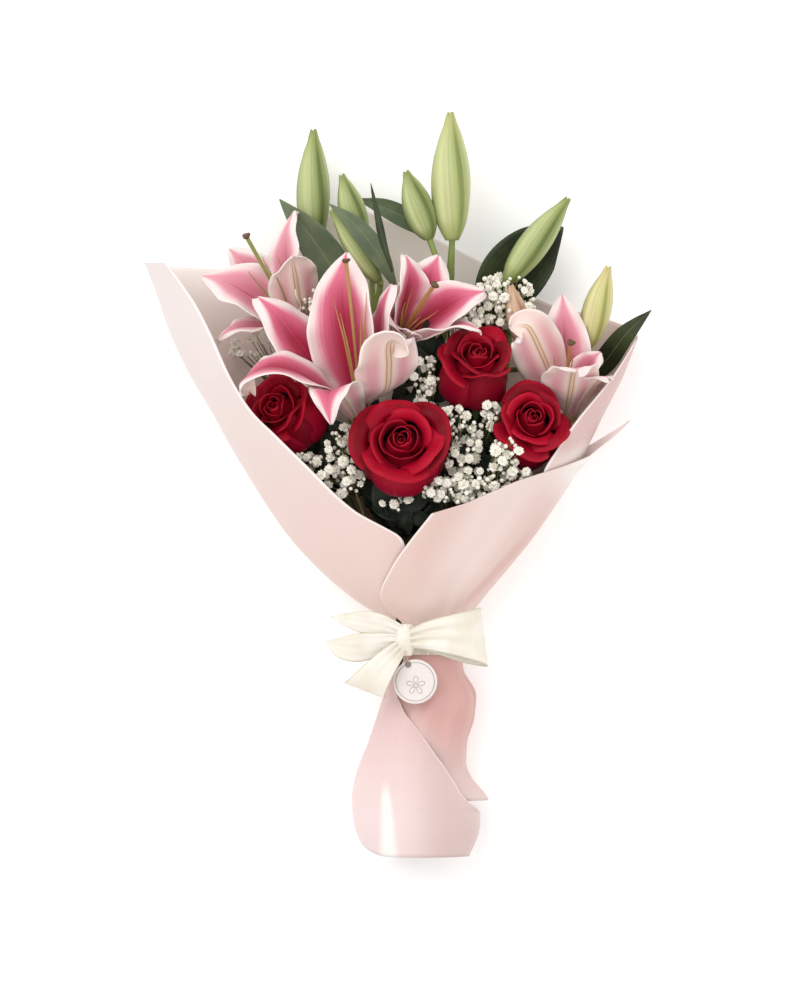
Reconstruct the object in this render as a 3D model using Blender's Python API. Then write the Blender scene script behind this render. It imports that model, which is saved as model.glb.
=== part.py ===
"""Mixed flower bouquet in a paper wrap, lying on its back.

+Y runs from the cut stems to the flower heads, +X to the right, +Z up from the surface it lies on.
Lengths in the tables are in millimetres and are scaled once, by at().
"""

import random
from math import acos, ceil, cos, degrees, pi, radians, sin

import bmesh
import bpy
from mathutils import Matrix, Vector
from mathutils.bvhtree import BVHTree

MM = 0.001
PAPER = 0.6
RIBBON = 0.8
TEPAL = 1.2
LEAF = 0.9
GAP = 0.4

NECK_Y = -105.0
TAIL_Y = -236.0
NECK_TOP = -97.0
NECK_END = -125.0
BUNDLE_X = 21.5
BUNDLE_Z = 31.0
TAIL_SPREAD = 1.12

# Places of the stems in the bundle at the tie, as (x, z).
BUNDLE = {
    "rose_1": (9.5, 38.5), "rose_2": (18, 46), "rose_3": (25, 45.5), "rose_4": (33.5, 37.5),
    "lily_1": (16, 34), "lily_2": (26, 34), "lily_3": (7.5, 29), "lily_4": (35, 29),
    "greenery_1": (12, 21), "greenery_2": (30, 20),
    "gypsophila_1": (12.6, 45.6), "gypsophila_2": (31.2, 43.4), "gypsophila_3": (21.4, 40.6),
    "gypsophila_4": (35.6, 20.6),
}

COLOURS = {
    "paper": ((0.82, 0.66, 0.62), 0.6),
    "satin": ((0.92, 0.88, 0.80), 0.35),
    "card": ((0.93, 0.90, 0.87), 0.6),
    "string": ((0.70, 0.66, 0.60), 0.8),
    "binding": ((0.45, 0.36, 0.22), 0.85),
    "lily_petal": ((0.86, 0.42, 0.50), 0.45),
    "lily_centre": ((0.62, 0.50, 0.25), 0.5),
    "rose_petal": ((0.42, 0.005, 0.02), 0.5),
    "rose_green": ((0.16, 0.24, 0.07), 0.55),
    "lily_green": ((0.42, 0.50, 0.18), 0.45),
    "leaf": ((0.08, 0.12, 0.04), 0.4),
    "gypsophila": ((0.85, 0.82, 0.72), 0.7),
}


# ---------------------------------------------------------------- small helpers

def at(x, y, z):
    """A place given in millimetres."""
    return Vector((x, y, z)) * MM


def clear_scene():
    for item in list(bpy.data.objects):
        bpy.data.objects.remove(item, do_unlink=True)


def material(kind):
    """The plain material of one kind of part."""
    found = bpy.data.materials.get(kind)
    if found:
        return found
    colour, roughness = COLOURS[kind]
    made = bpy.data.materials.new(kind)
    made.use_nodes = True
    shader = made.node_tree.nodes["Principled BSDF"]
    shader.inputs["Base Color"].default_value = (*colour, 1.0)
    shader.inputs["Roughness"].default_value = roughness
    shader.inputs["Metallic"].default_value = 0.0
    return made


def add_object(name, kind, mesh, smooth_angle=40):
    """Put a mesh in the scene as one named part."""
    part = bpy.data.objects.new(name, mesh)
    bpy.context.scene.collection.objects.link(part)
    mesh.materials.clear()
    mesh.materials.append(material(kind))
    mesh.shade_smooth()
    mesh.set_sharp_from_angle(angle=radians(smooth_angle))
    return part


def mesh_from(corners, faces):
    """A mesh whose faces are turned to point out of its closed body."""
    shape = bmesh.new()
    points = [shape.verts.new(corner) for corner in corners]
    for face in faces:
        shape.faces.new([points[index] for index in face])
    bmesh.ops.recalc_face_normals(shape, faces=shape.faces)
    mesh = bpy.data.meshes.new("shape")
    shape.to_mesh(mesh)
    shape.free()
    return mesh


def smooth_path(knots, count):
    """Points spaced along a smooth curve through the given ones."""
    line = [Vector(knot) for knot in knots]
    line = [2 * line[0] - line[1]] + line + [2 * line[-1] - line[-2]]
    spans = len(line) - 3
    path = []
    for step in range(count):
        place = spans * step / (count - 1)
        span = min(int(place), spans - 1)
        t = place - span
        a, b, c, d = line[span:span + 4]
        bend = (2 * a - 5 * b + 4 * c - d) * t * t + (3 * b - a - 3 * c + d) * t ** 3
        path.append(0.5 * (2 * b + (c - a) * t + bend))
    return path


def smooth_value(table, key):
    """Read a table of (key, value) rows at a key, with an eased step between rows."""
    if key <= table[0][0]:
        return table[0][1]
    for (low, first), (high, second) in zip(table, table[1:]):
        if key <= high:
            return first + (second - first) * (key - low) / (high - low)
    return table[-1][1]


def frames(path, facing):
    """Facing and across directions along a path, turning as little as they can."""
    last = len(path) - 1
    face = Vector(facing)
    result = []
    for index in range(len(path)):
        tangent = (path[min(index + 1, last)] - path[max(index - 1, 0)]).normalized()
        face = (face - face.dot(tangent) * tangent).normalized()
        result.append((face, tangent.cross(face)))
    return result


def tube_mesh(knots, count, sides, facing=(0.13, 0.21, 0.97)):
    """A closed tube through (x, y, z, radius) knots in millimetres."""
    path = smooth_path(knots, count)
    centres = [at(*knot[:3]) for knot in path]
    corners = []
    for knot, centre, (face, across) in zip(path, centres, frames(centres, facing)):
        for side in range(sides):
            turn = 2 * pi * side / sides
            corners.append(centre + (face * cos(turn) + across * sin(turn)) * knot[3] * MM)
    faces = []
    for ring in range(count - 1):
        for side in range(sides):
            nxt = (side + 1) % sides
            low = ring * sides
            faces.append((low + side, low + nxt, low + sides + nxt, low + sides + side))
    faces.append(tuple(range(sides)))
    faces.append(tuple((count - 1) * sides + side for side in range(sides)))
    return mesh_from(corners, faces)


def blade_mesh(spine, facing, half_width, cup, thick, rows, columns):
    """A closed, slightly cupped blade along a spine of places in metres.

    half_width and cup are functions of the fraction along the blade. A positive cup lifts the
    margins towards the facing side.
    """
    path = smooth_path(spine, rows)
    corners = []
    for side in (0.5, -0.5):
        for index, (face, across) in enumerate(frames(path, facing)):
            along = index / (rows - 1)
            for column in range(columns):
                c = 2 * column / (columns - 1) - 1
                width = half_width(along) * MM
                lift = cup(along) * width * c * c + side * thick * MM
                corners.append(path[index] + across * c * width + face * lift)
    back = rows * columns
    faces = []
    for row in range(rows - 1):
        for column in range(columns - 1):
            a = row * columns + column
            faces.append((a, a + 1, a + columns + 1, a + columns))
            faces.append((back + a, back + a + columns, back + a + columns + 1, back + a + 1))
    rim = [column for column in range(columns)]
    rim += [row * columns + columns - 1 for row in range(1, rows)]
    rim += [(rows - 1) * columns + column for column in range(columns - 2, -1, -1)]
    rim += [row * columns for row in range(rows - 2, 0, -1)]
    for here, there in zip(rim, rim[1:] + rim[:1]):
        faces.append((here, back + here, back + there, there))
    return mesh_from(corners, faces)


def ball_mesh(place, radius):
    """A small faceted ball round a place in millimetres."""
    shape = bmesh.new()
    bmesh.ops.create_icosphere(shape, subdivisions=1, radius=radius * MM,
                               matrix=Matrix.Translation(place * MM))
    mesh = bpy.data.meshes.new("ball")
    shape.to_mesh(mesh)
    shape.free()
    return mesh


def drop_crumbs(mesh):
    """Keep only the largest connected body of a mesh."""
    shape = bmesh.new()
    shape.from_mesh(mesh)
    waiting = set(shape.verts)
    bodies = []
    while waiting:
        front = [waiting.pop()]
        body = list(front)
        while front:
            for edge in front.pop().link_edges:
                for end in edge.verts:
                    if end in waiting:
                        waiting.remove(end)
                        front.append(end)
                        body.append(end)
        bodies.append(body)
    bodies.sort(key=len)
    crumbs = [point for body in bodies[:-1] for point in body]
    bmesh.ops.delete(shape, geom=crumbs, context="VERTS")
    shape.to_mesh(mesh)
    shape.free()


def union(name, kind, meshes):
    """Join overlapping closed meshes into one closed body."""
    base = add_object(name, kind, meshes[0])
    group = bpy.data.collections.new(name + "_parts")
    bpy.context.scene.collection.children.link(group)
    for mesh in meshes[1:]:
        piece = bpy.data.objects.new("piece", mesh)
        piece.hide_render = True
        piece.display_type = "WIRE"
        group.objects.link(piece)
    join = base.modifiers.new("join", "BOOLEAN")
    join.operation = "UNION"
    join.operand_type = "COLLECTION"
    join.collection = group
    bpy.context.view_layer.update()
    graph = bpy.context.evaluated_depsgraph_get()
    joined = bpy.data.meshes.new_from_object(base.evaluated_get(graph))
    base.modifiers.remove(join)
    base.data = joined
    for piece in list(group.objects):
        bpy.data.objects.remove(piece, do_unlink=True)
    bpy.data.collections.remove(group)
    drop_crumbs(joined)
    joined.materials.clear()
    joined.materials.append(material(kind))
    return base


def bundle_place(stem):
    x, z = BUNDLE[stem]
    return Vector((x, NECK_Y, z))


def tail_place(stem):
    """Where a stem is cut, a little wider spread than at the tie."""
    x, z = BUNDLE[stem]
    x = BUNDLE_X + (x - BUNDLE_X) * TAIL_SPREAD
    z = BUNDLE_Z + (z - BUNDLE_Z) * TAIL_SPREAD
    return Vector((x, TAIL_Y, z))


def stem_knots(stem, upper, radius):
    """Knots of a stem from its upper places, through the tie, to its cut end."""
    knots = [(*place, radius) for place in upper]
    knots.append((*bundle_place(stem), radius))
    knots.append((*tail_place(stem), radius))
    return knots


# ---------------------------------------------------------------- paper wrap

# Cross-sections of the wrap: y, left edge, right edge, height of the sides, height of the front,
# height of the back, and the share of the back that is flat.
SECTIONS = (
    (205, -206, 204, 24, 74, 0.3, 0.5),
    (156, -177, 186, 29, 88, 0.3, 0.5),
    (103, -157, 169, 40, 106, 0.3, 0.5),
    (60, -135, 152, 46, 119, 0.3, 0.5),
    (17, -112, 131, 47, 114, 0.3, 0.5),
    (-32, -81, 99, 43, 92, 0.3, 0.45),
    (-60, -55, 76, 39, 78, 0.6, 0.35),
    (-80, -31, 59, 34, 66, 2.5, 0.2),
    (-97, -8, 49, 31, 57, 6, 0.0),
    (-125, -5.5, 48, 31, 57, 6, 0.0),
    (-150, -3, 56, 31, 58, 5, 0.0),
    (-182, -13, 51, 31, 60, 3, 0.15),
    (-200, -24, 49, 31, 61, 2, 0.2),
    (-218, -30, 55, 31, 61, 1.8, 0.25),
    (-242, -28, 56, 31, 60, 1.8, 0.25),
    (-260, -19, 49, 31, 56, 4, 0.2),
)


def section_at(y):
    """The wrap's cross-section at one place along it."""
    for upper, lower in zip(SECTIONS, SECTIONS[1:]):
        if y >= lower[0]:
            break
    share = min(max((upper[0] - y) / (upper[0] - lower[0]), 0.0), 1.0)
    return [high + (low - high) * share for high, low in zip(upper[1:], lower[1:])]


def wrap_point(angle, y, grow, spread=0.0):
    """A point of the wrap in millimetres.

    The angle is 0 in the middle of the back, 90 at the right side, 180 at the front and -90 at
    the left side. grow sets the sheet further out than the plain section, and spread only
    sets it further out sideways.
    """
    left, right, side_z, front_z, back_z, flat = section_at(y)
    middle = (left + right) / 2
    half = (right - left) / 2 + grow + spread
    front_z += grow
    back_z -= grow
    if abs(angle) <= 90:
        share = abs(angle) / 90
        turn = max(share - flat, 0) / (1 - flat) * pi / 2
        reach = min(share, flat) + (1 - flat) * sin(turn)
        x = middle + (half * reach if angle > 0 else -half * reach)
        return Vector((x, y, side_z - (side_z - back_z) * cos(turn)))
    turn = radians(abs(angle) - 90)
    sign = 1 if angle > 0 else -1
    return Vector((middle + sign * half * cos(turn), y, side_z + (front_z - side_z) * sin(turn)))


def front_angle(x, y, sign):
    """The angle of the front point of the wrap that lies at x, counted from one side."""
    left, right = section_at(y)[:2]
    reach = sign * (x - (left + right) / 2) / ((right - left) / 2)
    return sign * (90 + degrees(acos(min(max(reach, -1.0), 1.0))))


def row_places(top, bottom, rows):
    """Places along one line of a sheet: above the tie, across it and down the skirt."""
    above, across, below = rows
    places = [top + (NECK_TOP - top) * step / above for step in range(above)]
    places += [NECK_TOP + (NECK_END - NECK_TOP) * step / across for step in range(across)]
    places += [NECK_END + (bottom - NECK_END) * step / below for step in range(below + 1)]
    return places


def paper_sheet(name, start, end, top, bottom, grow, rows, columns, flare=None):
    """A sheet of paper on the wrap, from one side angle to another, thickened to a solid."""
    lines = []
    for column in range(columns):
        across = column / (columns - 1)
        line = []
        for y in row_places(smooth_value(top, across), bottom, rows):
            angle = start(y) + (end(y) - start(y)) * across
            spread = flare(angle, y) if flare else 0.0
            line.append(wrap_point(angle, y, smooth_value(grow, -y), spread) * MM)
        lines.append(line)
    count = len(lines[0])
    faces = []
    for column in range(columns - 1):
        for row in range(count - 1):
            a = column * count + row
            faces.append((a, a + 1, a + count + 1, a + count))
    mesh = mesh_from([corner for line in lines for corner in line], faces)
    sheet = add_object(name, "paper", mesh, 60)
    thicken = sheet.modifiers.new("paper thickness", "SOLIDIFY")
    thicken.thickness = PAPER * MM
    thicken.offset = 0.0
    return sheet


# Free front edge of the back sheet, from its top corner down the left wing to the skirt: -y, x.
BACK_SHEET_EDGE = (
    (-156, -164), (-124, -144.5), (-103, -128.5), (-54, -105), (-18, -69), (17, -31), (35, 1),
    (43, 6), (60, 4), (80, 0), (95, -2), (125, -1), (150, 2), (181, 22), (206, 38), (219, 46),
    (230, 57), (260, 60),
)
# Other free edge of the back sheet, as an angle: right wing, then round under to the back.
BACK_SHEET_END = (
    (-103, 98), (-71, 111), (-42, 121), (-22, 125), (-9, 126), (20, 118), (50, 80), (75, 28),
    (92, -4), (105, -14), (125, -10), (160, 10), (200, 45), (260, 60),
)
BACK_SHEET_TOP = (
    (0, 155), (0.105, 156), (0.267, 152), (0.38, 172), (0.49, 199), (0.567, 183), (0.614, 171),
    (0.79, 126), (0.962, 103), (1, 101),
)
BACK_SHEET_GROW = ((-75, 0), (-48, -2.4), (97, -2.4), (108, 0), (125, 1.4), (260, 1.4))

# Free edges of the front sheet: its left edge over the notch, then under the ribbon.
FRONT_SHEET_EDGE = (
    (20, 24), (43, 6), (59, -4.5), (77, -11.5), (88, -5), (97, 4), (118, 5), (135, -2),
    (150, -7), (221, -10),
)
FRONT_SHEET_START = ((-45, -20), (60, -20), (80, -10), (92, 2), (125, 4), (160, -12), (221, -12))
FRONT_SHEET_TOP = (
    (0, -8), (0.3, 18), (0.5, 40), (0.575, 45), (0.63, 20), (0.77, 8), (0.83, 2), (0.93, -13),
    (1, -20),
)
FRONT_SHEET_GROW = ((97, 0), (108, 0), (125, -1.8), (221, -1.8))


def front_sheet_flare(angle, y):
    """The pointed corner of the front sheet stands away from the side of the wrap."""
    rise = min(max((y - 12) / 33, 0.0), 1.0)
    lean = max(1 - abs(angle - 96) / 40, 0.0)
    corner = min(max((-195 - y) / 24, 0.0), 1.0) * max(1 - abs(angle - 92) / 30, 0.0)
    return 19 * rise * lean + 10 * corner


def build_wrap():
    paper_sheet(
        "wrap_back_sheet",
        lambda y: front_angle(smooth_value(BACK_SHEET_EDGE, -y), y, -1),
        lambda y: smooth_value(BACK_SHEET_END, -y),
        BACK_SHEET_TOP, -260, BACK_SHEET_GROW, (11, 2, 6), 21)
    paper_sheet(
        "wrap_front_sheet",
        lambda y: smooth_value(FRONT_SHEET_START, -y),
        lambda y: front_angle(smooth_value(FRONT_SHEET_EDGE, -y), y, 1),
        FRONT_SHEET_TOP, -221, FRONT_SHEET_GROW, (8, 2, 5), 17, front_sheet_flare)


def closed_band(name, kind, y_top, y_bottom, grow, thick, rows, columns):
    """A closed band round the neck, on the same section as the wrap."""
    corners = []
    for row in range(rows):
        y = y_top + (y_bottom - y_top) * row / (rows - 1)
        for column in range(columns):
            corners.append(wrap_point(360 * column / columns - 180, y, grow) * MM)
    faces = []
    for row in range(rows - 1):
        for column in range(columns):
            nxt = (column + 1) % columns
            low = row * columns
            faces.append((low + column, low + nxt, low + columns + nxt, low + columns + column))
    band = add_object(name, kind, mesh_from(corners, faces))
    thicken = band.modifiers.new("band thickness", "SOLIDIFY")
    thicken.thickness = thick * MM
    thicken.offset = 0.0
    return band


# ---------------------------------------------------------------- ribbon and tag


def ribbon_strip(places, across, widths):
    """A ribbon strip along places in millimetres; widths are half widths along it."""
    spine = [at(*place) for place in places]
    tangent = (spine[1] - spine[0]).normalized()
    facing = Vector(across).cross(tangent)
    rows = 3 * len(places) - 2
    return blade_mesh(spine, facing, lambda s: smooth_value(widths, s), lambda s: 0.0,
                      RIBBON, rows, 3)


def build_bow():
    """Knot, two loops and two tails, tied from one ribbon."""
    knot = tube_mesh(((6, -116, 63.5, 3.5), (6, -112, 64.5, 6.2), (6, -108, 65, 6.8),
                      (6, -104, 64.5, 6.2), (6, -99, 63.5, 3.5)), 7, 10)
    right_loop = ribbon_strip(
        ((8, -107, 68), (24, -106, 75), (44, -106, 75), (58, -107, 67), (56, -107, 63),
         (40, -107, 65), (22, -108, 65), (8, -108, 64)),
        (0, 1, 0), ((0, 6), (0.2, 13), (0.45, 17), (0.6, 17), (0.8, 12), (1, 5)))
    left_loop = ribbon_strip(
        ((4, -110, 68), (-6, -121, 75), (-16, -134, 76), (-23, -143, 70), (-17, -135, 64),
         (-6, -122, 64), (4, -110, 64)),
        (0.8, -0.6, 0), ((0, 4), (0.2, 9), (0.4, 13), (0.55, 13), (0.8, 8), (1, 4)))
    upper_tail = ribbon_strip(
        ((6, -105, 65), (-10, -99, 67), (-28, -94, 65), (-45, -92, 60)),
        (0.25, 1, 0.5), ((0, 4), (0.45, 6), (0.8, 3.5), (1, 0.8)))
    lower_tail = ribbon_strip(
        ((6, -109, 65), (-10, -111, 66), (-27, -113, 63), (-44, -113, 55)),
        (0.1, 1, 0.3), ((0, 4), (0.45, 7.5), (0.85, 8), (1, 4)))
    union("ribbon_bow", "satin", [knot, right_loop, left_loop, upper_tail, lower_tail])


TAG_CENTRE = (13, -137)
TAG_HEIGHT = 66.5
TAG_RADIUS = 15.5
EYELET = (8, -125)
EYELET_RADIUS = 1.6


def build_tag():
    """A round card with an eyelet near its rim, and the string that holds it to the knot."""
    disc_sides = 40
    hole_sides = 10
    disc = bmesh.new()
    bmesh.ops.create_cone(disc, cap_ends=True, segments=disc_sides, radius1=TAG_RADIUS * MM,
                          radius2=TAG_RADIUS * MM, depth=0.8 * MM,
                          matrix=Matrix.Translation(at(*TAG_CENTRE, TAG_HEIGHT)))
    mesh = bpy.data.meshes.new("tag")
    disc.to_mesh(mesh)
    disc.free()
    tag = add_object("tag_disc", "card", mesh)
    punch = bmesh.new()
    bmesh.ops.create_cone(punch, cap_ends=True, segments=hole_sides, radius1=EYELET_RADIUS * MM,
                          radius2=EYELET_RADIUS * MM, depth=6 * MM,
                          matrix=Matrix.Translation(at(*EYELET, TAG_HEIGHT)))
    hole = bpy.data.meshes.new("eyelet")
    punch.to_mesh(hole)
    punch.free()
    cutter = bpy.data.objects.new("eyelet_cutter", hole)
    cutter.hide_render = True
    cutter.display_type = "WIRE"
    bpy.context.scene.collection.objects.link(cutter)
    cut = tag.modifiers.new("eyelet", "BOOLEAN")
    cut.operation = "DIFFERENCE"
    cut.object = cutter
    x, y = EYELET
    string = tube_mesh(((6, -118.4, 66.5, 0.45), (7, -119.6, 68.6, 0.45), (8, -122, 68.8, 0.45),
                        (x, y, TAG_HEIGHT, 0.45), (x + 0.4, y + 2, TAG_HEIGHT - 2.0, 0.45),
                        (6.4, -120, 64.2, 0.45), (6, -117.8, 63.0, 0.45)), 12, 5)
    add_object("tag_string", "string", string)


# ---------------------------------------------------------------- lilies

TEPAL_ROWS = 8
TEPAL_COLUMNS = 5
INNER_CLAW = ((0, 5.4), (16, 7.6))
OUTER_CLAW = ((-1, 7.4), (14, 10.5))
CLAW_HALF = 2.4
INNER_REACH = 0.88
OUTER_REACH = 0.74

# Each lily: the place of its base, the direction of its axis, the places its pistil passes, and
# six tepals, inner and outer by turns. A tepal has a name, its place in the whorl in degrees
# (0 is the side that faces up from the surface, 90 the right-hand side), how far it swings round
# towards its tip, its greatest half width, and its midrib as (distance along the axis, distance
# from the axis).
LILIES = {
    "lily_1": {
        "base": (-24, 46, 50), "axis": (-0.27, 0.62, 0.73),
        "pistil": ((-27, 76, 86), (-31, 118, 104), (-35, 154, 109)),
        "tepals": (
            ("right_front", 40, 30, 21, ((40, 16), (66, 30), (86, 46), (78, 62))),
            ("right_back", 100, 16, 14, ((34, 22), (62, 40), (88, 56))),
            ("back", 160, -8, 25, ((40, 15), (66, 26), (90, 41), (108, 60))),
            ("left_high", 220, -10, 18, ((35, 21), (59, 35), (81, 47), (100, 57))),
            ("left_low", 280, -24, 17, ((42, 16), (68, 29), (80, 45), (74, 62), (62, 70))),
            ("front_left", 340, 0, 18, ((32, 22), (50, 35), (58, 47), (54, 59))),
        )},
    "lily_2": {
        "base": (1, 98, 42), "axis": (0.32, 0.55, 0.77),
        "pistil": ((10, 116, 68), (26, 138, 92)),
        "tepals": (
            ("front", 10, 0, 8, ((30, 14), (44, 19))),
            ("right_front", 76, 14, 12, ((30, 18), (50, 29), (62, 42))),
            ("right_back", 130, 0, 14, ((32, 15), (52, 26), (66, 40))),
            ("back", 190, 0, 14, ((30, 17), (48, 26), (62, 35))),
            ("left_back", 250, -14, 13, ((34, 13), (54, 19), (69, 27))),
            ("left_front", 310, 0, 11, ((28, 15), (44, 23))),
        )},
    "lily_3": {
        "base": (-67, 104, 32), "axis": (-0.45, 0.65, 0.61),
        "pistil": ((-82, 132, 57), (-104, 172, 82)),
        "tepals": (
            ("front", 341.5, 0, 4.6, ((24, 13.5), (36, 19))),
            ("right_front", 50, 16, 15, ((34, 16), (56, 24), (73, 30))),
            ("right_back", 110, 18, 15, ((34, 16), (56, 31), (72, 54))),
            ("back", 170, 18, 13, ((30, 22), (47, 37), (62, 50))),
            ("left_back", 230, -6, 18, ((34, 12), (55, 25), (71, 44))),
            ("left_front", 288, -12, 12, ((26, 18), (40, 32), (46, 48))),
        )},
    "lily_4": {
        "base": (117, 47, 34), "axis": (0.06, 0.7, 0.71),
        "pistil": ((118, 70, 60), (121, 98, 82)),
        "tepals": (
            ("front", 10, 0, 16, ((36, 13), (60, 17), (76, 24))),
            ("right_front", 70, 0, 12, ((28, 15), (46, 22), (56, 28))),
            ("right_back", 128, 0, 10, ((30, 13), (44, 19), (52, 24))),
            ("back", 190, 0, 15, ((30, 18), (54, 30), (75, 45))),
            ("left_back", 250, 0, 15, ((34, 12), (58, 23), (74, 33), (70, 42))),
            ("left_front", 310, 0, 6, ((17, 11), (22, 11))),
        )},
}

TEPAL_WIDTHS = ((0, 0.0), (0.12, 0.12), (0.3, 0.62), (0.45, 0.95), (0.6, 1.0), (0.76, 0.86),
                (0.9, 0.5), (1.0, 0.03))


def whorl(axis):
    """The directions of a flower's whorl: along its axis, up from the surface, and right."""
    along = Vector(axis).normalized()
    up = Vector((0, 0, 1))
    up = (up - up.dot(along) * along).normalized()
    return along, up, along.cross(up)


def build_tepal(lily, flower, index):
    label, turn, swing, half, profile = flower["tepals"][index]
    along, up, right = whorl(flower["axis"])
    base = Vector(flower["base"])
    inner = index % 2 == 0
    knots = (INNER_CLAW if inner else OUTER_CLAW) + profile
    reach = INNER_REACH if inner else OUTER_REACH
    spine = []
    for step, (height, radius) in enumerate(knots):
        angle = radians(turn + swing * step / (len(knots) - 1))
        out = up * cos(angle) + right * sin(angle)
        spine.append((base + along * height + out * radius) * MM)
    radii = [(step / (len(knots) - 1), radius) for step, (_, radius) in enumerate(knots)]

    def width(s):
        full = max(half * smooth_value(TEPAL_WIDTHS, s), CLAW_HALF if s < 0.5 else 0.5)
        return min(full, max(smooth_value(radii, s) * reach, CLAW_HALF))

    def cup(s):
        return min(0.5 * width(s) / smooth_value(radii, s), 0.5)

    start = radians(turn)
    facing = -(up * cos(start) + right * sin(start))
    mesh = blade_mesh(spine, facing, width, cup, TEPAL, TEPAL_ROWS, TEPAL_COLUMNS)
    add_object(f"{lily}_tepal_{label}", "lily_petal", mesh)


RECEPTACLE = ((-4, 6.4), (-1.8, 6.8), (-1.5, 4.3), (2, 4.3), (7, 2.4))
FILAMENTS = 5
STIGMA_RADIUS = 3.1


def build_lily_centre(lily, flower):
    """Receptacle, pistil and five filaments, grown as one piece."""
    along, up, right = whorl(flower["axis"])
    base = Vector(flower["base"])
    style = [(*(base + along * height), radius) for height, radius in RECEPTACLE]
    style += [(*place, 1.3) for place in flower["pistil"][:-1]]
    tip = Vector(flower["pistil"][-1])
    style += [(*tip, 1.6)]
    parts = [tube_mesh(style, 14, 7), ball_mesh(tip, STIGMA_RADIUS)]
    core = smooth_path([base + along * 1.5] + [Vector(place) for place in flower["pistil"]], 9)
    for count in range(FILAMENTS):
        turn = radians(72 * count + 20)
        out = up * cos(turn) + right * sin(turn)
        knots = [(*(core[step] + out * reach), radius)
                 for step, reach, radius in ((0, 1.4, 1.0), (2, 3.6, 0.75), (4, 7, 0.7),
                                             (5, 10, 0.6))]
        parts.append(tube_mesh(knots, 4, 4))
    union(f"{lily}_centre", "lily_centre", parts)


def build_lilies():
    for lily, flower in LILIES.items():
        for index in range(len(flower["tepals"])):
            build_tepal(lily, flower, index)
        build_lily_centre(lily, flower)


# Lily stems: the places of the main stem above the tie, the place of the flower's pedicel, and
# the buds as (base, tip, greatest radius, where on the main stem the pedicel starts).
LILY_STEMS = {
    "lily_1": {
        "main": ((-11, 143, 48), (-16, 100, 25), (-15, 50, 22), (-5, 0, 30)),
        "flower_from": (-7, 12, 29),
        "buds": (((-12, 142, 50), (-45, 192, 53), 8), ((-24, 170, 36), (-38, 217, 38), 9.5)),
        "forks": ((-11, 141, 47), (-16, 102, 26)),
    },
    "lily_2": {
        "main": ((39, 172, 45), (36, 130, 28), (26, 70, 24), (22, 0, 28)),
        "flower_from": (22, 30, 26),
        "buds": (((39, 171, 45), (38, 260, 47), 13.5), ((23, 172, 45), (7, 219, 48), 10.5)),
        "forks": ((38, 169, 44), (35, 128, 28)),
    },
    "lily_3": {
        "main": ((-58, 170, 22), (-50, 130, 14), (-38, 70, 14), (-20, 10, 20)),
        "flower_from": (-32, 50, 15),
        "buds": (((-58, 169, 22), (-58, 249, 28), 11.5),),
        "forks": ((-57, 167, 22),),
    },
    "lily_4": {
        "main": ((77, 143, 44), (78, 110, 36), (72, 60, 24), (56, 0, 24)),
        "flower_from": (56, -4, 24),
        "buds": (((77, 142, 44), (120, 200, 46), 10.5), ((134, 97, 36), (148, 152, 54), 10),
                 ((89, 98, 52), (80, 139, 60), 8)),
        "forks": ((76, 140, 43), (57, 2, 24), (75, 80, 28)),
    },
}
BUD_PROFILE = ((0, 0.42), (0.12, 0.72), (0.35, 1.0), (0.6, 0.92), (0.85, 0.5), (1.0, 0.12))
LILY_STEM_RADIUS = 3.4
PEDICEL_RADIUS = 1.9
BUD_SIDES = 8


def bud_mesh(base, tip, radius):
    base = Vector(base)
    tip = Vector(tip)
    knots = [(*base.lerp(tip, s), radius * share) for s, share in BUD_PROFILE]
    return tube_mesh(knots, 8, BUD_SIDES)


def build_lily_stems():
    """Each stem with its pedicels and closed buds, grown as one piece."""
    for lily, stem in LILY_STEMS.items():
        flower = LILIES[lily]
        along = Vector(flower["axis"]).normalized()
        base = Vector(flower["base"])
        main = stem_knots(lily, stem["main"], LILY_STEM_RADIUS)
        main[0] = (*main[0][:3], PEDICEL_RADIUS)
        parts = [tube_mesh(main, 13, 7)]
        start = Vector(stem["flower_from"])
        under = base - along * 4.4
        bend = base - along * 15
        parts.append(tube_mesh(((*start, 1.8), (*start.lerp(bend, 0.55), 2.0), (*bend, 2.2),
                                (*(base - along * 9), 2.6), (*under, 4.0)), 7, 6))
        for (bottom, tip, radius), fork in zip(stem["buds"], stem["forks"]):
            parts.append(bud_mesh(bottom, tip, radius))
            bottom = Vector(bottom)
            fork = Vector(fork)
            lead = (bottom - Vector(tip)).normalized() * min(22, (bottom - fork).length * 0.45)
            knots = ((*fork, PEDICEL_RADIUS), (*(bottom + lead), PEDICEL_RADIUS),
                     (*(bottom - lead * 0.12), PEDICEL_RADIUS + 0.6))
            parts.append(tube_mesh(knots, 5, 6))
        union(f"{lily}_stem", "lily_green", parts)


# ---------------------------------------------------------------- roses

# Each rose: where its head meets the hip, the direction it faces, its radius and its height.
ROSES = {
    "rose_1": ((-64, 42, 43), (-0.5, 0.3, 0.81), 27, 47),
    "rose_2": ((6, 18, 64), (-0.05, 0.3, 0.95), 33, 51),
    "rose_3": ((52.5, 68, 50), (0.1, 0.55, 0.83), 26.5, 46),
    "rose_4": ((89, 34, 47), (0.1, 0.35, 0.93), 27, 46),
}
# The bowl of a bloom as (radius share, height share), from the hip over the rim to the heart.
BLOOM_PROFILE = ((0.2, 0.0), (0.62, 0.1), (0.9, 0.34), (0.99, 0.6), (0.94, 0.8), (0.8, 0.88),
                 (0.66, 0.83), (0.52, 0.92), (0.38, 0.88), (0.24, 1.0), (0.12, 0.93))
BLOOM_SIDES = 16
PETAL_WAVES = 5
ROSE_STEM_RADIUS = 2.9
SEPALS = 5


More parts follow.
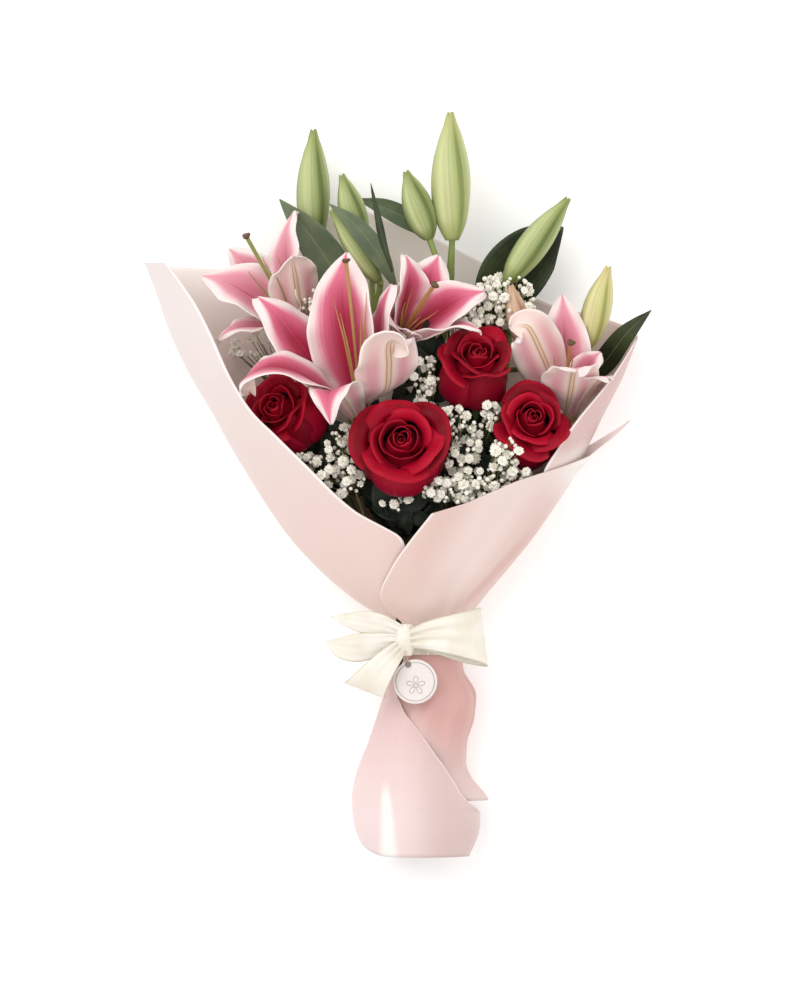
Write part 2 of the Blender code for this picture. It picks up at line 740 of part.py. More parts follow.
def build_bloom(name, base, axis, radius, height):
    """The packed petals of one rose as a bowl with rolled petal rows on top."""
    along, up, right = whorl(axis)
    base = Vector(base)
    corners = []
    for row, (reach, rise) in enumerate(BLOOM_PROFILE):
        for side in range(BLOOM_SIDES):
            turn = 2 * pi * side / BLOOM_SIDES
            wave = 1 + 0.035 * sin(PETAL_WAVES * turn + row * 1.3)
            out = up * cos(turn) + right * sin(turn)
            corners.append((base + out * radius * reach * wave + along * height * rise) * MM)
    faces = []
    for row in range(len(BLOOM_PROFILE) - 1):
        for side in range(BLOOM_SIDES):
            nxt = (side + 1) % BLOOM_SIDES
            low = row * BLOOM_SIDES
            high = low + BLOOM_SIDES
            faces.append((low + side, low + nxt, high + nxt, high + side))
    top = (len(BLOOM_PROFILE) - 1) * BLOOM_SIDES
    faces.append(tuple(range(BLOOM_SIDES)))
    faces.append(tuple(top + side for side in range(BLOOM_SIDES)))
    add_object(f"{name}_bloom", "rose_petal", mesh_from(corners, faces))


def build_rose_stem(name, base, axis):
    """Stem, hip and five turned-down sepals, grown as one piece."""
    along, up, right = whorl(axis)
    base = Vector(base)
    neck = bundle_place(name)
    bend = base - along * 20
    upper = ((*(base - along * GAP), 5.2), (*(base - along * 4), 5.6), (*(base - along * 9), 3.2))
    knots = list(upper)
    knots.append((*bend, ROSE_STEM_RADIUS))
    knots.append((*bend.lerp(neck, 0.5), ROSE_STEM_RADIUS))
    knots.append((*neck, ROSE_STEM_RADIUS))
    knots.append((*tail_place(name), ROSE_STEM_RADIUS))
    parts = [tube_mesh(knots, 15, 7)]
    for count in range(SEPALS):
        turn = radians(360 / SEPALS * count + 15)
        out = up * cos(turn) + right * sin(turn)
        foot = base - along * 2.6
        spine = [(foot + out * 3) * MM, (foot + out * 10 - along * 2) * MM,
                 (foot + out * 14 - along * 6) * MM, (foot + out * 15 - along * 11) * MM]
        parts.append(blade_mesh(spine, along, lambda s: max(2.8 * (1 - s), 0.4),
                                lambda s: 0.1, LEAF, 3, 3))
    union(f"{name}_stem", "rose_green", parts)


def build_roses():
    for name, (base, axis, radius, height) in ROSES.items():
        build_bloom(name, base, axis, radius, height)
        build_rose_stem(name, base, axis)


# ---------------------------------------------------------------- leaves

# Each leaf: its midrib from the foot to the tip, and its greatest half width.
LEAVES = {
    "leaf_broad_left": (((-24, 114, 24), (-40, 144, 38), (-60, 174, 43), (-82, 200, 40)), 13),
    "leaf_over_bud": (((0, 136, 62), (-12, 160, 66), (-29, 181, 64), (-47, 196, 60)), 7),
    "leaf_narrow": (((-3, 148, 76), (-9, 168, 76), (-13, 186, 74), (-18, 210, 66)), 2.6),
    "leaf_behind": (((25, 172, 24), (8, 186, 26), (-9, 195, 26), (-28, 201, 24)), 7),
    "leaf_broad_right": (((60, 106, 20), (76, 140, 25), (97, 165, 29), (117, 181, 28)), 22),
    "leaf_far_right": (((128, 70, 18), (145, 85, 28), (160, 105, 51), (177.5, 122, 59)), 8),
}
LEAF_WIDTHS = ((0, 0.2), (0.2, 0.72), (0.45, 1.0), (0.7, 0.8), (0.9, 0.34), (1.0, 0.05))


def leaf_mesh(places, half, facing, rows=7, columns=3):
    spine = [at(*place) for place in places]
    return blade_mesh(spine, facing, lambda s: max(half * smooth_value(LEAF_WIDTHS, s), 0.5),
                      lambda s: 0.18, LEAF, rows, columns)


def build_leaves():
    for name, (places, half) in LEAVES.items():
        add_object(name, "leaf", leaf_mesh(places, half, (0, 0, 1)))


# ---------------------------------------------------------------- filler

def surroundings():
    """Search trees of every finished part, to keep the filler clear of them."""
    bpy.context.view_layer.update()
    graph = bpy.context.evaluated_depsgraph_get()
    trees = []
    for item in bpy.context.scene.objects:
        if item.type == "MESH" and not item.hide_render:
            trees.append(BVHTree.FromObject(item, graph))
    return trees


def is_clear(places, margin, trees):
    for place in places:
        for tree in trees:
            if tree.find_nearest(place, margin * MM)[0] is not None:
                return False
    return True


def between(start, end, step):
    count = max(int(ceil((end - start).length / step)), 2)
    return [start.lerp(end, index / (count - 1)) for index in range(count)]


GREENERY = {
    "greenery_1": ((-30, 96, 10), (-24, 60, 11), (-10, 15, 14), (2, -40, 17)),
    "greenery_2": ((48, 92, 10), (44, 50, 10), (38, 5, 12), (32, -50, 16)),
}
SPRIG_RADIUS = 1.5
SPRIG_LEAVES = 10


def build_greenery():
    """Dark filler sprigs; a leaf that would touch a neighbour is left off."""
    for name, upper in GREENERY.items():
        trees = surroundings()
        knots = stem_knots(name, upper, SPRIG_RADIUS)
        parts = [tube_mesh(knots, 17, 6)]
        path = smooth_path(upper, SPRIG_LEAVES)
        for index, place in enumerate(path):
            for side in (-1, 1):
                out = Vector((side * 0.8, 0.55, 0.12 + 0.2 * (index % 3)))
                for length in (40, 32, 24):
                    tip = place + out * length
                    bend = place + out * length * 0.5 + Vector((0, 0, 4))
                    leaf = leaf_mesh((place, bend, tip), length * 0.3, (0, 0, 1), 5, 3)
                    probes = [v.co for v in leaf.vertices]
                    probes += [face.center for face in leaf.polygons]
                    if is_clear(probes, 2.6, trees):
                        parts.append(leaf)
                        break
        union(name, "leaf", parts)


# Each spray: the places of its main stalk above the tie, and its clusters of florets as
# (centre, spread, number of florets).
GYPSOPHILA = {
    "gypsophila_1": (((-34, 10, 62), (-12, -50, 54)),
                     (((-46, 22, 84), 14, 6), ((-38, -4, 78), 13, 5), ((-34, 40, 86), 9, 3))),
    "gypsophila_2": (((38, 0, 62), (33, -50, 55)),
                     (((44, -2, 88), 14, 6), ((62, 10, 84), 11, 3), ((26, -14, 78), 12, 4))),
    "gypsophila_3": (((34, 42, 62), (28, -30, 50)),
                     (((40, 52, 84), 10, 5), ((24, 70, 82), 10, 4), ((60, 44, 80), 9, 4))),
    "gypsophila_4": (((66, 118, 44), (62, 92, 24), (56, 40, 16), (44, -50, 15)),
                     (((64, 130, 62), 12, 6), ((88, 128, 58), 10, 4), ((74, 112, 62), 8, 3))),
}
FLORET_RADIUS = 3.2
FORK_RADIUS = 1.4
STALK_RADIUS = 0.5
STALK_SIDES = 3


def build_spray(name, upper, clusters, seed):
    """A branching spray; a floret or stalk that would touch a neighbour is left off."""
    chance = random.Random(seed)
    trees = surroundings()
    hub = Vector(upper[0])
    parts = [tube_mesh(stem_knots(name, upper, 1.1), 10, 4)]
    for centre, spread, count in clusters:
        centre = Vector(centre)
        twig = [hub, hub.lerp(centre, 0.5) + Vector((0, 0, 2)), centre - Vector((0, 3, 6))]
        path = smooth_path(twig, 16)
        if not is_clear([place * MM for place in path[2:]], FORK_RADIUS + 0.4, trees):
            continue
        parts.append(tube_mesh([(*place, 0.7) for place in twig], 4, STALK_SIDES))
        root = twig[-1]
        parts.append(ball_mesh(root, FORK_RADIUS))
        for _ in range(count):
            for _ in range(30):
                offset = Vector((chance.gauss(0, 0.6), chance.gauss(0, 0.6),
                                 abs(chance.gauss(0, 0.35))))
                spot = centre + offset * spread
                radius = FLORET_RADIUS * chance.uniform(0.8, 1.15)
                stalk = [place * MM for place in between(root, spot, 1.2)]
                if is_clear([spot * MM], radius + 0.8, trees) and is_clear(stalk, 1.0, trees):
                    parts.append(tube_mesh(((*root, STALK_RADIUS), (*spot, STALK_RADIUS)), 2,
                                           STALK_SIDES))
                    parts.append(ball_mesh(spot, radius))
                    break
    union(name, "gypsophila", parts)


def build_gypsophila():
    for seed, (name, (upper, clusters)) in enumerate(GYPSOPHILA.items()):
        build_spray(name, upper, clusters, seed + 3)


def build_binding():
    """The tie round the stems, under the paper."""
    corners = []
    rows = 3
    sides = 20
    for row in range(rows):
        y = NECK_Y + 6 - 6 * row
        for side in range(sides):
            turn = 2 * pi * side / sides
            corners.append(at(BUNDLE_X + 20.8 * cos(turn), y, BUNDLE_Z + 20.8 * sin(turn)))
    faces = []
    for row in range(rows - 1):
        for side in range(sides):
            nxt = (side + 1) % sides
            low = row * sides
            faces.append((low + side, low + nxt, low + sides + nxt, low + sides + side))
    binding = add_object("stem_binding", "binding", mesh_from(corners, faces))
    thicken = binding.modifiers.new("tie thickness", "SOLIDIFY")
    thicken.thickness = 1.2 * MM
    thicken.offset = 0.0


def main():
    clear_scene()
    build_wrap()
    closed_band("ribbon_band", "satin", -99, -118, 2.4, RIBBON, 4, 28)
    build_bow()
    build_tag()
    build_binding()
    build_lilies()
    build_lily_stems()
    build_roses()
    build_leaves()
    build_gypsophila()
    build_greenery()


main()
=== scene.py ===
"""Mixed flower bouquet in a paper wrap, lying on its back: the look of every piece.

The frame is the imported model. +Y runs from the cut stems to the flower heads, +X to the right,
+Z up from the surface. Lengths in tables and shapes are in millimetres; a piece is scaled to
metres once, when its mesh is made.
"""

import random
from math import acos, cos, degrees, exp, pi, radians, sin, sqrt

import bpy
from mathutils import Matrix, Vector, noise
from mathutils.bvhtree import BVHTree


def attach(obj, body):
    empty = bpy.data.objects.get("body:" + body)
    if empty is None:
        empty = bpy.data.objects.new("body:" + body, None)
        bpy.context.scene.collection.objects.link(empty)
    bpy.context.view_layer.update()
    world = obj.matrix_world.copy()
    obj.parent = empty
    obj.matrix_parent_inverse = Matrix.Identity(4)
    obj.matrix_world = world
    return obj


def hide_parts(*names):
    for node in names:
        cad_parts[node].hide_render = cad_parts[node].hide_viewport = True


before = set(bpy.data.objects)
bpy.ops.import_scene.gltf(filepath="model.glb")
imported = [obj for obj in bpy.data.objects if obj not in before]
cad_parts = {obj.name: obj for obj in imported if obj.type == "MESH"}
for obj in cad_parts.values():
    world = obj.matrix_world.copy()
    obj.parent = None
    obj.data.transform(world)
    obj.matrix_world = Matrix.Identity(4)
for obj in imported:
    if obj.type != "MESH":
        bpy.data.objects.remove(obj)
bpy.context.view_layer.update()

MM = 0.001


# ---------------------------------------------------------------- shapes

class Shape:
    """Points and faces gathered for one piece.

    Each point carries its place along and across the petal or strip it belongs to, and a tone
    that sets one petal off from the next. Each face carries the number of its finish.
    """

    def __init__(self):
        self.points = []
        self.faces = []
        self.along = []
        self.across = []
        self.tone = []
        self.finish = []

    def grid(self, rows, closed=False, tone=0.5, finish=0, ends=False):
        """A sheet of points, row by row; closed joins the last column to the first."""
        start = len(self.points)
        width = len(rows[0])
        last = start + (len(rows) - 1) * width
        spans = width if closed else width - 1
        for number, row in enumerate(rows):
            self.points += row
            self.along += [number / (len(rows) - 1)] * width
            self.across += [2 * column / spans - 1 for column in range(width)]
            self.tone += [tone] * width
        for low in range(start, last, width):
            for column in range(spans):
                following = (column + 1) % width
                self.faces.append((low + column, low + following,
                                   low + width + following, low + width + column))
        if ends:
            self.faces.append(tuple(range(start + width - 1, start - 1, -1)))
            self.faces.append(tuple(range(last, last + width)))
        self.finish += [finish] * (len(self.faces) - len(self.finish))

    def copy_of(self, other, place, tone):
        """Another shape's points moved by a matrix."""
        start = len(self.points)
        self.points += [place @ point for point in other.points]
        self.along += other.along
        self.across += other.across
        self.tone += [tone] * len(other.points)
        self.faces += [tuple(start + corner for corner in face) for face in other.faces]
        self.finish += other.finish

    def piece(self, name, finishes, slot, stands_for=(), thick=0.0, offset=0.0):
        """The finished piece, riding on the bouquet. thick is the sheet's thickness."""
        mesh = bpy.data.meshes.new(name)
        mesh.from_pydata([tuple(point * MM) for point in self.points], [], self.faces)
        for label in ("along", "across", "tone"):
            made = mesh.attributes.new(label, "FLOAT", "POINT")
            made.data.foreach_set("value", getattr(self, label))
        for finish in finishes:
            mesh.materials.append(finish)
        mesh.polygons.foreach_set("material_index", self.finish)
        mesh.polygons.foreach_set("use_smooth", [True] * len(mesh.polygons))
        mesh.update()
        part = bpy.data.objects.new(name, mesh)
        bpy.context.scene.collection.objects.link(part)
        if thick:
            body = part.modifiers.new("thickness", "SOLIDIFY")
            body.thickness = thick * MM
            body.offset = offset
            body.use_even_offset = False
            body.material_offset = len(finishes) - 1
        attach(part, "root")
        if stands_for:
            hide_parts(*stands_for)
        return part


def turns(sides):
    """Even turns round a ring."""
    return [2 * pi * side / sides for side in range(sides)]


def rings(count, sides, place):
    """Rings of points, from a function of the share of the length and the turn round it."""
    return [[place(step / (count - 1), turn) for turn in turns(sides)] for step in range(count)]


def spread(columns):
    """Even places from -1 to 1 across a strip."""
    return [2 * column / (columns - 1) - 1 for column in range(columns)]


def around(first, second, angle):
    """The direction at an angle from the first one towards the second."""
    return first * cos(angle) + second * sin(angle)


def smooth_path(knots, count):
    """Points spaced along a smooth curve through the given ones."""
    line = [Vector(knot) for knot in knots]
    line = [2 * line[0] - line[1]] + line + [2 * line[-1] - line[-2]]
    spans = len(line) - 3
    path = []
    for step in range(count):
        place = spans * step / (count - 1)
        span = min(int(place), spans - 1)
        t = place - span
        a, b, c, d = line[span:span + 4]
        bend = (2 * a - 5 * b + 4 * c - d) * t * t + (3 * b - a - 3 * c + d) * t ** 3
        path.append(0.5 * (2 * b + (c - a) * t + bend))
    return path


def read(table, key):
    """Read a table of (key, value) rows on straight lines between its rows."""
    if key <= table[0][0]:
        return table[0][1]
    for (low, first), (high, second) in zip(table, table[1:]):
        if key <= high:
            return first + (second - first) * (key - low) / (high - low)
    return table[-1][1]


def curve(table, key):
    """Read a table of (key, value) rows on a smooth curve through its rows."""
    if not table[0][0] < key < table[-1][0]:
        return read(table, key)
    spot = next(place for place in range(len(table)) if key <= table[place + 1][0])
    slopes = []
    for place in (spot, spot + 1):
        before = table[max(place - 1, 0)]
        after = table[min(place + 1, len(table) - 1)]
        slopes.append((after[1] - before[1]) / (after[0] - before[0]))
    (low, first), (high, second) = table[spot:spot + 2]
    span = high - low
    t = (key - low) / span
    return ((2 * t ** 3 - 3 * t * t + 1) * first + (t ** 3 - 2 * t * t + t) * span * slopes[0]
            + (3 * t * t - 2 * t ** 3) * second + (t ** 3 - t * t) * span * slopes[1])


def ease(low, high, value):
    """0 below low, 1 above high and a soft rise between them."""
    t = min(max((value - low) / (high - low), 0.0), 1.0)
    return t * t * (3 - 2 * t)


def frames(path, facing):
    """Facing and across directions along a path, turning as little as they can."""
    last = len(path) - 1
    face = Vector(facing)
    result = []
    for index in range(len(path)):
        tangent = (path[min(index + 1, last)] - path[max(index - 1, 0)]).normalized()
        face = (face - face.dot(tangent) * tangent).normalized()
        result.append((face, tangent.cross(face)))
    return result


def strip(path, facing, columns, half_width, lift):
    """Rows of points across a path, from its half width and its lift off the path.

    Both are functions of the share of the length; lift also takes the place across, from -1
    to 1, and the half width there.
    """
    rows = []
    for step, (face, across) in enumerate(frames(path, facing)):
        s = step / (len(path) - 1)
        wide = half_width(s)
        rows.append([path[step] + across * c * wide + face * lift(s, c, wide)
                     for c in spread(columns)])
    return rows


def tube(shape, knots, count, sides):
    """A closed round tube through (x, y, z, radius) knots."""
    path = smooth_path(knots, count)
    centres = [Vector(knot[:3]) for knot in path]
    rows = []
    for knot, centre, (face, across) in zip(path, centres, frames(centres, (0.13, 0.21, 0.97))):
        radius = max(knot[3], 0.02)
        rows.append([centre + around(face, across, turn) * radius for turn in turns(sides)])
    shape.grid(rows, closed=True, ends=True)


def knots_with(radius, places):
    """Places of a tube, all with one radius."""
    return [(*place, radius) for place in places]


# ---------------------------------------------------------------- finishes

def srgb(red, green, blue):
    """A colour given in 0 to 255 steps, as light."""
    return tuple((c / 255 / 12.92) if c <= 10 else ((c / 255 + 0.055) / 1.055) ** 2.4
                 for c in (red, green, blue))


class Wire:
    """A socket of a finish. Sums and products of wires add Math nodes."""

    def __init__(self, finish, socket):
        self.finish = finish
        self.socket = socket

    def math(self, operation, *values, clamp=False):
        return self.finish.node("ShaderNodeMath", {"operation": operation, "use_clamp": clamp},
                                dict(enumerate(values)))

    def __add__(self, other):
        return self.math("ADD", self, other)

    __radd__ = __add__

    def __sub__(self, other):
        return self.math("SUBTRACT", self, other)

    def __rsub__(self, other):
        return self.math("SUBTRACT", other, self)

    def __mul__(self, other):
        return self.math("MULTIPLY", self, other)

    __rmul__ = __mul__

    def __truediv__(self, other):
        return self.math("DIVIDE", self, other)

    def __rtruediv__(self, other):
        return self.math("DIVIDE", other, self)

    def __abs__(self):
        return self.math("ABSOLUTE", self)

    def wave(self):
        """A sine wave between 0 and 1."""
        return self.math("SINE", self) * 0.5 + 0.5

    def held(self):
        """The value kept between 0 and 1."""
        return self.math("ADD", self, 0.0, clamp=True)

    def rise(self, low, high):
        """0 below low, 1 above high and a soft rise between; low may be the larger one."""
        return self.finish.node("ShaderNodeMapRange", {"interpolation_type": "SMOOTHSTEP"},
                                {0: self, 1: low, 2: high})


class Finish:
    """A material and the wires that colour it."""

    def __init__(self, name, roughness=0.5, **constants):
        self.material = bpy.data.materials.new(name)
        self.material.use_nodes = True
        self.tree = self.material.node_tree
        self.shader = self.tree.nodes["Principled BSDF"]
        self.shader.inputs["Roughness"].default_value = roughness
        for label, value in constants.items():
            self.shader.inputs[label.replace("_", " ")].default_value = value

    def node(self, kind, settings=None, inputs=None, output=0):
        """One node with its settings made first and its sockets filled, as a wire."""
        made = self.tree.nodes.new(kind)
        for label, value in (settings or {}).items():
            setattr(made, label, value)
        for label, value in (inputs or {}).items():
            self.feed(made.inputs[label], value)
        return Wire(self, made.outputs[output])

    def feed(self, socket, value):
        """Link a wire to a socket, or set the socket's own value."""
        if isinstance(value, Wire):
            self.tree.links.new(value.socket, socket)
        else:
            socket.default_value = (*value, 1.0) if socket.type == "RGBA" else value

    def mix(self, share, first, second):
        """One colour passing into another."""
        return self.node("ShaderNodeMix", {"data_type": "RGBA"},
                         {0: share, 6: first, 7: second}, 2)

    def read(self, *labels):
        """Values carried by the points: along, across or tone."""
        wires = [self.node("ShaderNodeAttribute", {"attribute_name": label}, None, 2)
                 for label in labels]
        return wires if len(wires) > 1 else wires[0]

    def place(self):
        """Where a point is, in metres."""
        return self.node("ShaderNodeTexCoord", None, None, 3)

    def part_of(self, vector, axis):
        """One part of a place: X, Y or Z."""
        return self.node("ShaderNodeSeparateXYZ", None, {0: vector}, "XYZ".index(axis))

    def speckle(self, scale, detail=3.0, vector=None):
        """Soft noise from 0 to 1."""
        return self.node("ShaderNodeTexNoise", None,
                         {"Vector": vector or self.place(), "Scale": scale, "Detail": detail,
                          "Roughness": 0.55})

    def streaks(self, x, y, z):
        """Noise drawn out along the piece's own directions."""
        return self.speckle(1.0, 3.0, self.node("ShaderNodeCombineXYZ", None, {0: x, 1: y, 2: z}))

    def paint(self, colour, roughness=None, height=None, depth=0.2, reach=0.0005):
        """Wire the colour, the roughness and the relief into the shader."""
        self.feed(self.shader.inputs["Base Color"], colour)
        if roughness is not None:
            self.feed(self.shader.inputs["Roughness"], roughness)
        if height is not None:
            bump = self.node("ShaderNodeBump", None,
                             {"Strength": depth, "Distance": reach, "Height": height})
            self.feed(self.shader.inputs["Normal"], bump)
        return self.material


def mottled(name, first, second, roughness, scale, depth, reach):
    """Two shades in a fine cloud, which is the relief too."""
    paint = Finish(name, roughness)
    cloud = paint.speckle(scale)
    return paint.paint(paint.mix(cloud, first, second), roughness, cloud, depth, reach)


def paper_surface(paint, colour):
    """Soft mottling, a painted highlight along the cut edge and fine fibre, the same on both sides
    of the paper.
    """
    cloud = paint.speckle(18, 2.0)
    colour = paint.mix((cloud - 0.5).held() * 0.3, colour, srgb(226, 196, 189))
    # A near white band along each sheet's cut edge: painted highlight.
    rim = abs(paint.read("across")).rise(0.986, 0.993)
    colour = paint.mix(rim * 0.65, colour, srgb(252, 246, 243))
    fibre = paint.speckle(900, 4.0)
    return paint.paint(colour, 0.5 + fibre * 0.12, fibre, 0.12, 0.0002)


def paper_start(name):
    """A smooth wrapping paper and the wires of a point's X and Y on the bouquet."""
    paint = Finish(name, 0.55, Sheen_Weight=0.15, Specular_IOR_Level=0.35)
    place = paint.place()
    return paint, paint.part_of(place, "X"), paint.part_of(place, "Y")


def paper_inside():
    """The inside of the wrap: deep pink low down in painted shade, nearly white at the rim in
    painted light.
    """
    paint, x, y = paper_start("paper_inside")
    # Deep pink low down and nearly white up at the rim: painted shade deep in the wrap, painted
    # light through the paper at the top.
    colour = paint.mix(y.rise(-0.03, 0.15), srgb(206, 172, 164), srgb(252, 242, 236))
    # Darker pink towards the right, away from the light: painted shade.
    colour = paint.mix(x.rise(0.06, 0.15), colour, srgb(236, 210, 205))
    # The inside of the front sheet's flared right corner is made near white: painted light over its
    # shade.
    corner = x.rise(0.125, 0.14) * (1 - y.rise(0.05, 0.065))
    return paper_surface(paint, paint.mix(corner, colour, srgb(255, 250, 247)))


def paper_wings(paint, x, y):
    """The outside above the tie: the left wing, the collar and the right wing behind it, in tones of
    painted light and shade.
    """
    # Pinker low down and paler up high, the collar darker than the left wing: painted shade near the
    # tie and on the side away from the light.
    rise = y.rise(-0.09, 0.14)
    left = paint.mix(rise, srgb(226, 200, 192), srgb(223, 213, 211))
    collar = paint.mix(rise, srgb(218, 185, 176), srgb(220, 202, 196))
    # A paler band across the collar: painted highlight.
    band = y * -0.62 + x
    collar_highlight = band.rise(0.045, 0.075) * (1 - band.rise(0.085, 0.12))
    collar = paint.mix(collar_highlight * 0.6, collar, srgb(238, 223, 217))
    # A deep pink line in the fold along the collar's right edge: painted shade in the crease.
    crease = 1 - abs(y * -0.93 + x - 0.1255).rise(0.001, 0.006)
    crease = crease * y.rise(-0.092, -0.075) * (1 - y.rise(-0.05, -0.02))
    collar = paint.mix(crease * 0.4, collar, srgb(204, 148, 142))
    colour = paint.mix(x.rise(-0.02, 0.045), left, collar)
    # The lower right wing is darker: painted shade.
    wing = (y - x * 0.5).rise(-0.048, -0.032)
    colour = paint.mix(x.rise(0.085, 0.135) * wing, colour, srgb(214, 182, 178))
    # The flared right corner is made near white: painted light over its shade.
    corner = x.rise(0.09, 0.14) * (1 - wing) * y.rise(-0.03, 0.01)
    return paint.mix(corner, colour, srgb(246, 240, 236))


def paper_skirt(paint, x, y):
    """The outside below the tie: a pale flap with a painted highlight down one fold, over a deeper
    pleat in painted shade.
    """
    # Flap and pleat are both deeper pink near the tie and paler towards the hem: painted shade under
    # the tie.
    hem = y.rise(-0.16, -0.235)
    flap = paint.mix(hem, srgb(220, 190, 188), srgb(232, 211, 209))
    # A near white strip down one fold of the flap: painted highlight.
    wide = 0.003 + (y + 0.2) * -0.11
    fold = 1 - (abs(x + 0.0065 + (y + 0.235) * 0.05) / wide).rise(0.2, 1.0)
    flap = paint.mix(fold * y.rise(-0.203, -0.222) * 0.75, flap, srgb(250, 247, 242))
    # The flap darkens towards its right edge: painted shade.
    flap = paint.mix(x.rise(0.0, 0.035) * 0.8, flap, srgb(206, 180, 175))
    # The pleat beside the flap's edge is deeper pink: painted shade in the fold.
    pleat = paint.mix(hem, srgb(207, 160, 154), srgb(222, 203, 197))
    return paint.mix((x + y * 0.62).rise(-0.103, -0.07), flap, pleat)


def paper_outside():
    """The outside of the wrap, pale pink, with painted shade that makes it deeper at the tie."""
    paint, x, y = paper_start("paper_outside")
    wings = paper_wings(paint, x, y)
    return paper_surface(paint, paint.mix(y.rise(-0.1, -0.125), wings, paper_skirt(paint, x, y)))


def satin_finish():
    """Cream satin: fine ribs across the ribbon and a soft sheen."""
    paint = Finish("ribbon_satin", 0.36, Sheen_Weight=0.3, Specular_IOR_Level=0.45,
                   Sheen_Roughness=0.4)
    along, across = paint.read("along", "across")
    cloud = paint.speckle(45, 2.0)
    colour = paint.mix(cloud.rise(0.35, 0.75), srgb(238, 233, 223), srgb(226, 218, 202))
    colour = paint.mix(abs(across).rise(0.93, 0.96), colour, srgb(214, 204, 182))
    ribs = (across * 220).wave() + (along * 900).wave()
    return paint.paint(colour, 0.3 + cloud * 0.15, ribs, 0.1, 0.0001)


def card_finish():
    """Smooth pale card."""
    paint = Finish("tag_card", 0.6)
    grain = paint.speckle(700)
    colour = paint.mix(grain, srgb(236, 228, 224), srgb(224, 214, 209))
    return paint.paint(colour, 0.55 + grain * 0.1, grain, 0.1, 0.0001)


def ink_finish():
    """Grey ink, and the grey rim of the tag's hole."""
    paint = Finish("tag_ink", 0.5)
    grain = paint.speckle(400, 2.0)
    return paint.paint(paint.mix(grain, srgb(150, 146, 148), srgb(118, 114, 117)), 0.5)


def string_finish():
    """Twisted thread."""
    paint = Finish("tag_string_fibre", 0.8)
    along, across = paint.read("along", "across")
    twist = (along * 160 + across * 3.14).wave()
    colour = paint.mix(twist, srgb(150, 140, 122), srgb(205, 198, 182))
    return paint.paint(colour, 0.8, twist, 0.5, 0.0002)


def lily_start(name, across_scale, along_scale, tone_scale):
    """A petal's finish with the wires that both of its sides use."""
    paint = Finish(name, 0.5, Sheen_Weight=0.2, Specular_IOR_Level=0.35)
    along, across, tone = paint.read("along", "across", "tone")
    streak = paint.streaks(across * across_scale, along * along_scale, tone * tone_scale)
    return paint, along, abs(across), tone, streak


def lily_face():
    """Inside of a lily petal: deep rose along the rib, fading to a white margin and tip."""
    paint, along, edge, depth, streak = lily_start("lily_face", 22, 2.2, 9)
    wander = edge + (streak - 0.5) * 0.22
    reach = 0.92 - along.rise(0.7, 1.0) * 0.45
    pink = 1 - wander.rise(reach - 0.42, reach + 0.04)
    pink = (pink * (0.5 + depth * 0.6)).held()
    deep = (1 - wander.rise(0.1, 0.74)) * (1 - along.rise(0.62, 0.98))
    deep = (deep * (0.1 + depth * 0.95)).held()
    colour = paint.mix(pink, srgb(240, 222, 220), srgb(222, 112, 142))
    colour = paint.mix(deep, colour, srgb(172, 34, 68))
    rib = (1 - edge.rise(0.01, 0.06)) * (1 - along.rise(0.6, 0.9)) * along.rise(0.05, 0.2)
    colour = paint.mix(rib * 0.55, colour, srgb(150, 26, 58))
    throat = 1 - along.rise(0.07, 0.2)
    colour = paint.mix(throat * 0.8, colour, srgb(196, 190, 120))
    colour = paint.mix(edge.rise(0.93, 0.99) * 0.8, colour, srgb(250, 244, 240))
    relief = streak * 0.6 + (1 - edge.rise(0.0, 0.09)) * -0.8
    return paint.paint(colour, 0.42 + streak * 0.18, relief, 0.35, 0.0006)


def lily_back():
    """Outside of a lily petal: pale, with a tan double rib and a pink flush."""
    paint, along, edge, _, streak = lily_start("lily_back", 20, 2.0, 7)
    flush = edge.rise(0.1, 0.45) * (1 - edge.rise(0.5, 0.95)) * (1 - along.rise(0.55, 0.95))
    colour = paint.mix((flush * (0.55 + streak * 0.6)).held(), srgb(236, 214, 205),
                       srgb(222, 150, 160))
    band = 1 - edge.rise(0.06, 0.2)
    colour = paint.mix(band * 0.6 * (1 - along.rise(0.75, 1.0)), colour, srgb(214, 178, 140))
    ribs = 1 - abs(edge - 0.07).rise(0.008, 0.035)
    colour = paint.mix(ribs * 0.75 * (1 - along.rise(0.8, 1.0)), colour, srgb(176, 126, 92))
    colour = paint.mix(edge.rise(0.88, 0.98) * 0.8, colour, srgb(248, 240, 235))
    colour = paint.mix(1 - along.rise(0.04, 0.2), colour, srgb(190, 178, 110))
    return paint.paint(colour, 0.42 + streak * 0.18, streak + ribs * 0.7, 0.35, 0.0006)


def pistil_finish(name, foot, top):
    """A pistil and its filaments, one shade at the foot and another at the top."""
    paint = Finish(name, 0.45)
    cloud = paint.speckle(300)
    colour = paint.mix(paint.read("along"), foot, top)
    colour = paint.mix(cloud * 0.5, colour, srgb(150, 116, 66))
    return paint.paint(colour, 0.45, cloud, 0.2, 0.0003)


def bud_finish(name, pale, green, seam, tip):
    """A closed lily bud: pale ribs, green between, darker seams."""
    paint = Finish(name, 0.42, Specular_IOR_Level=0.4, Sheen_Weight=0.1)
    along, across = paint.read("along", "across")
    turn = across * pi
    lobe = (turn * 3).wave()
    streak = paint.streaks(turn * 6, along * 2, 0.3)
    colour = paint.mix((lobe * 0.75 + streak * 0.5 - 0.15).held(), green, pale)
    colour = paint.mix((1 - lobe.rise(0.0, 0.1)) * 0.7, colour, seam)
    colour = paint.mix(along.rise(0.72, 1.0) * 0.7, colour, tip)
    colour = paint.mix((1 - along.rise(0.0, 0.22)) * 0.7, colour, green)
    return paint.paint(colour, 0.36 + streak * 0.16, streak, 0.25, 0.0005)


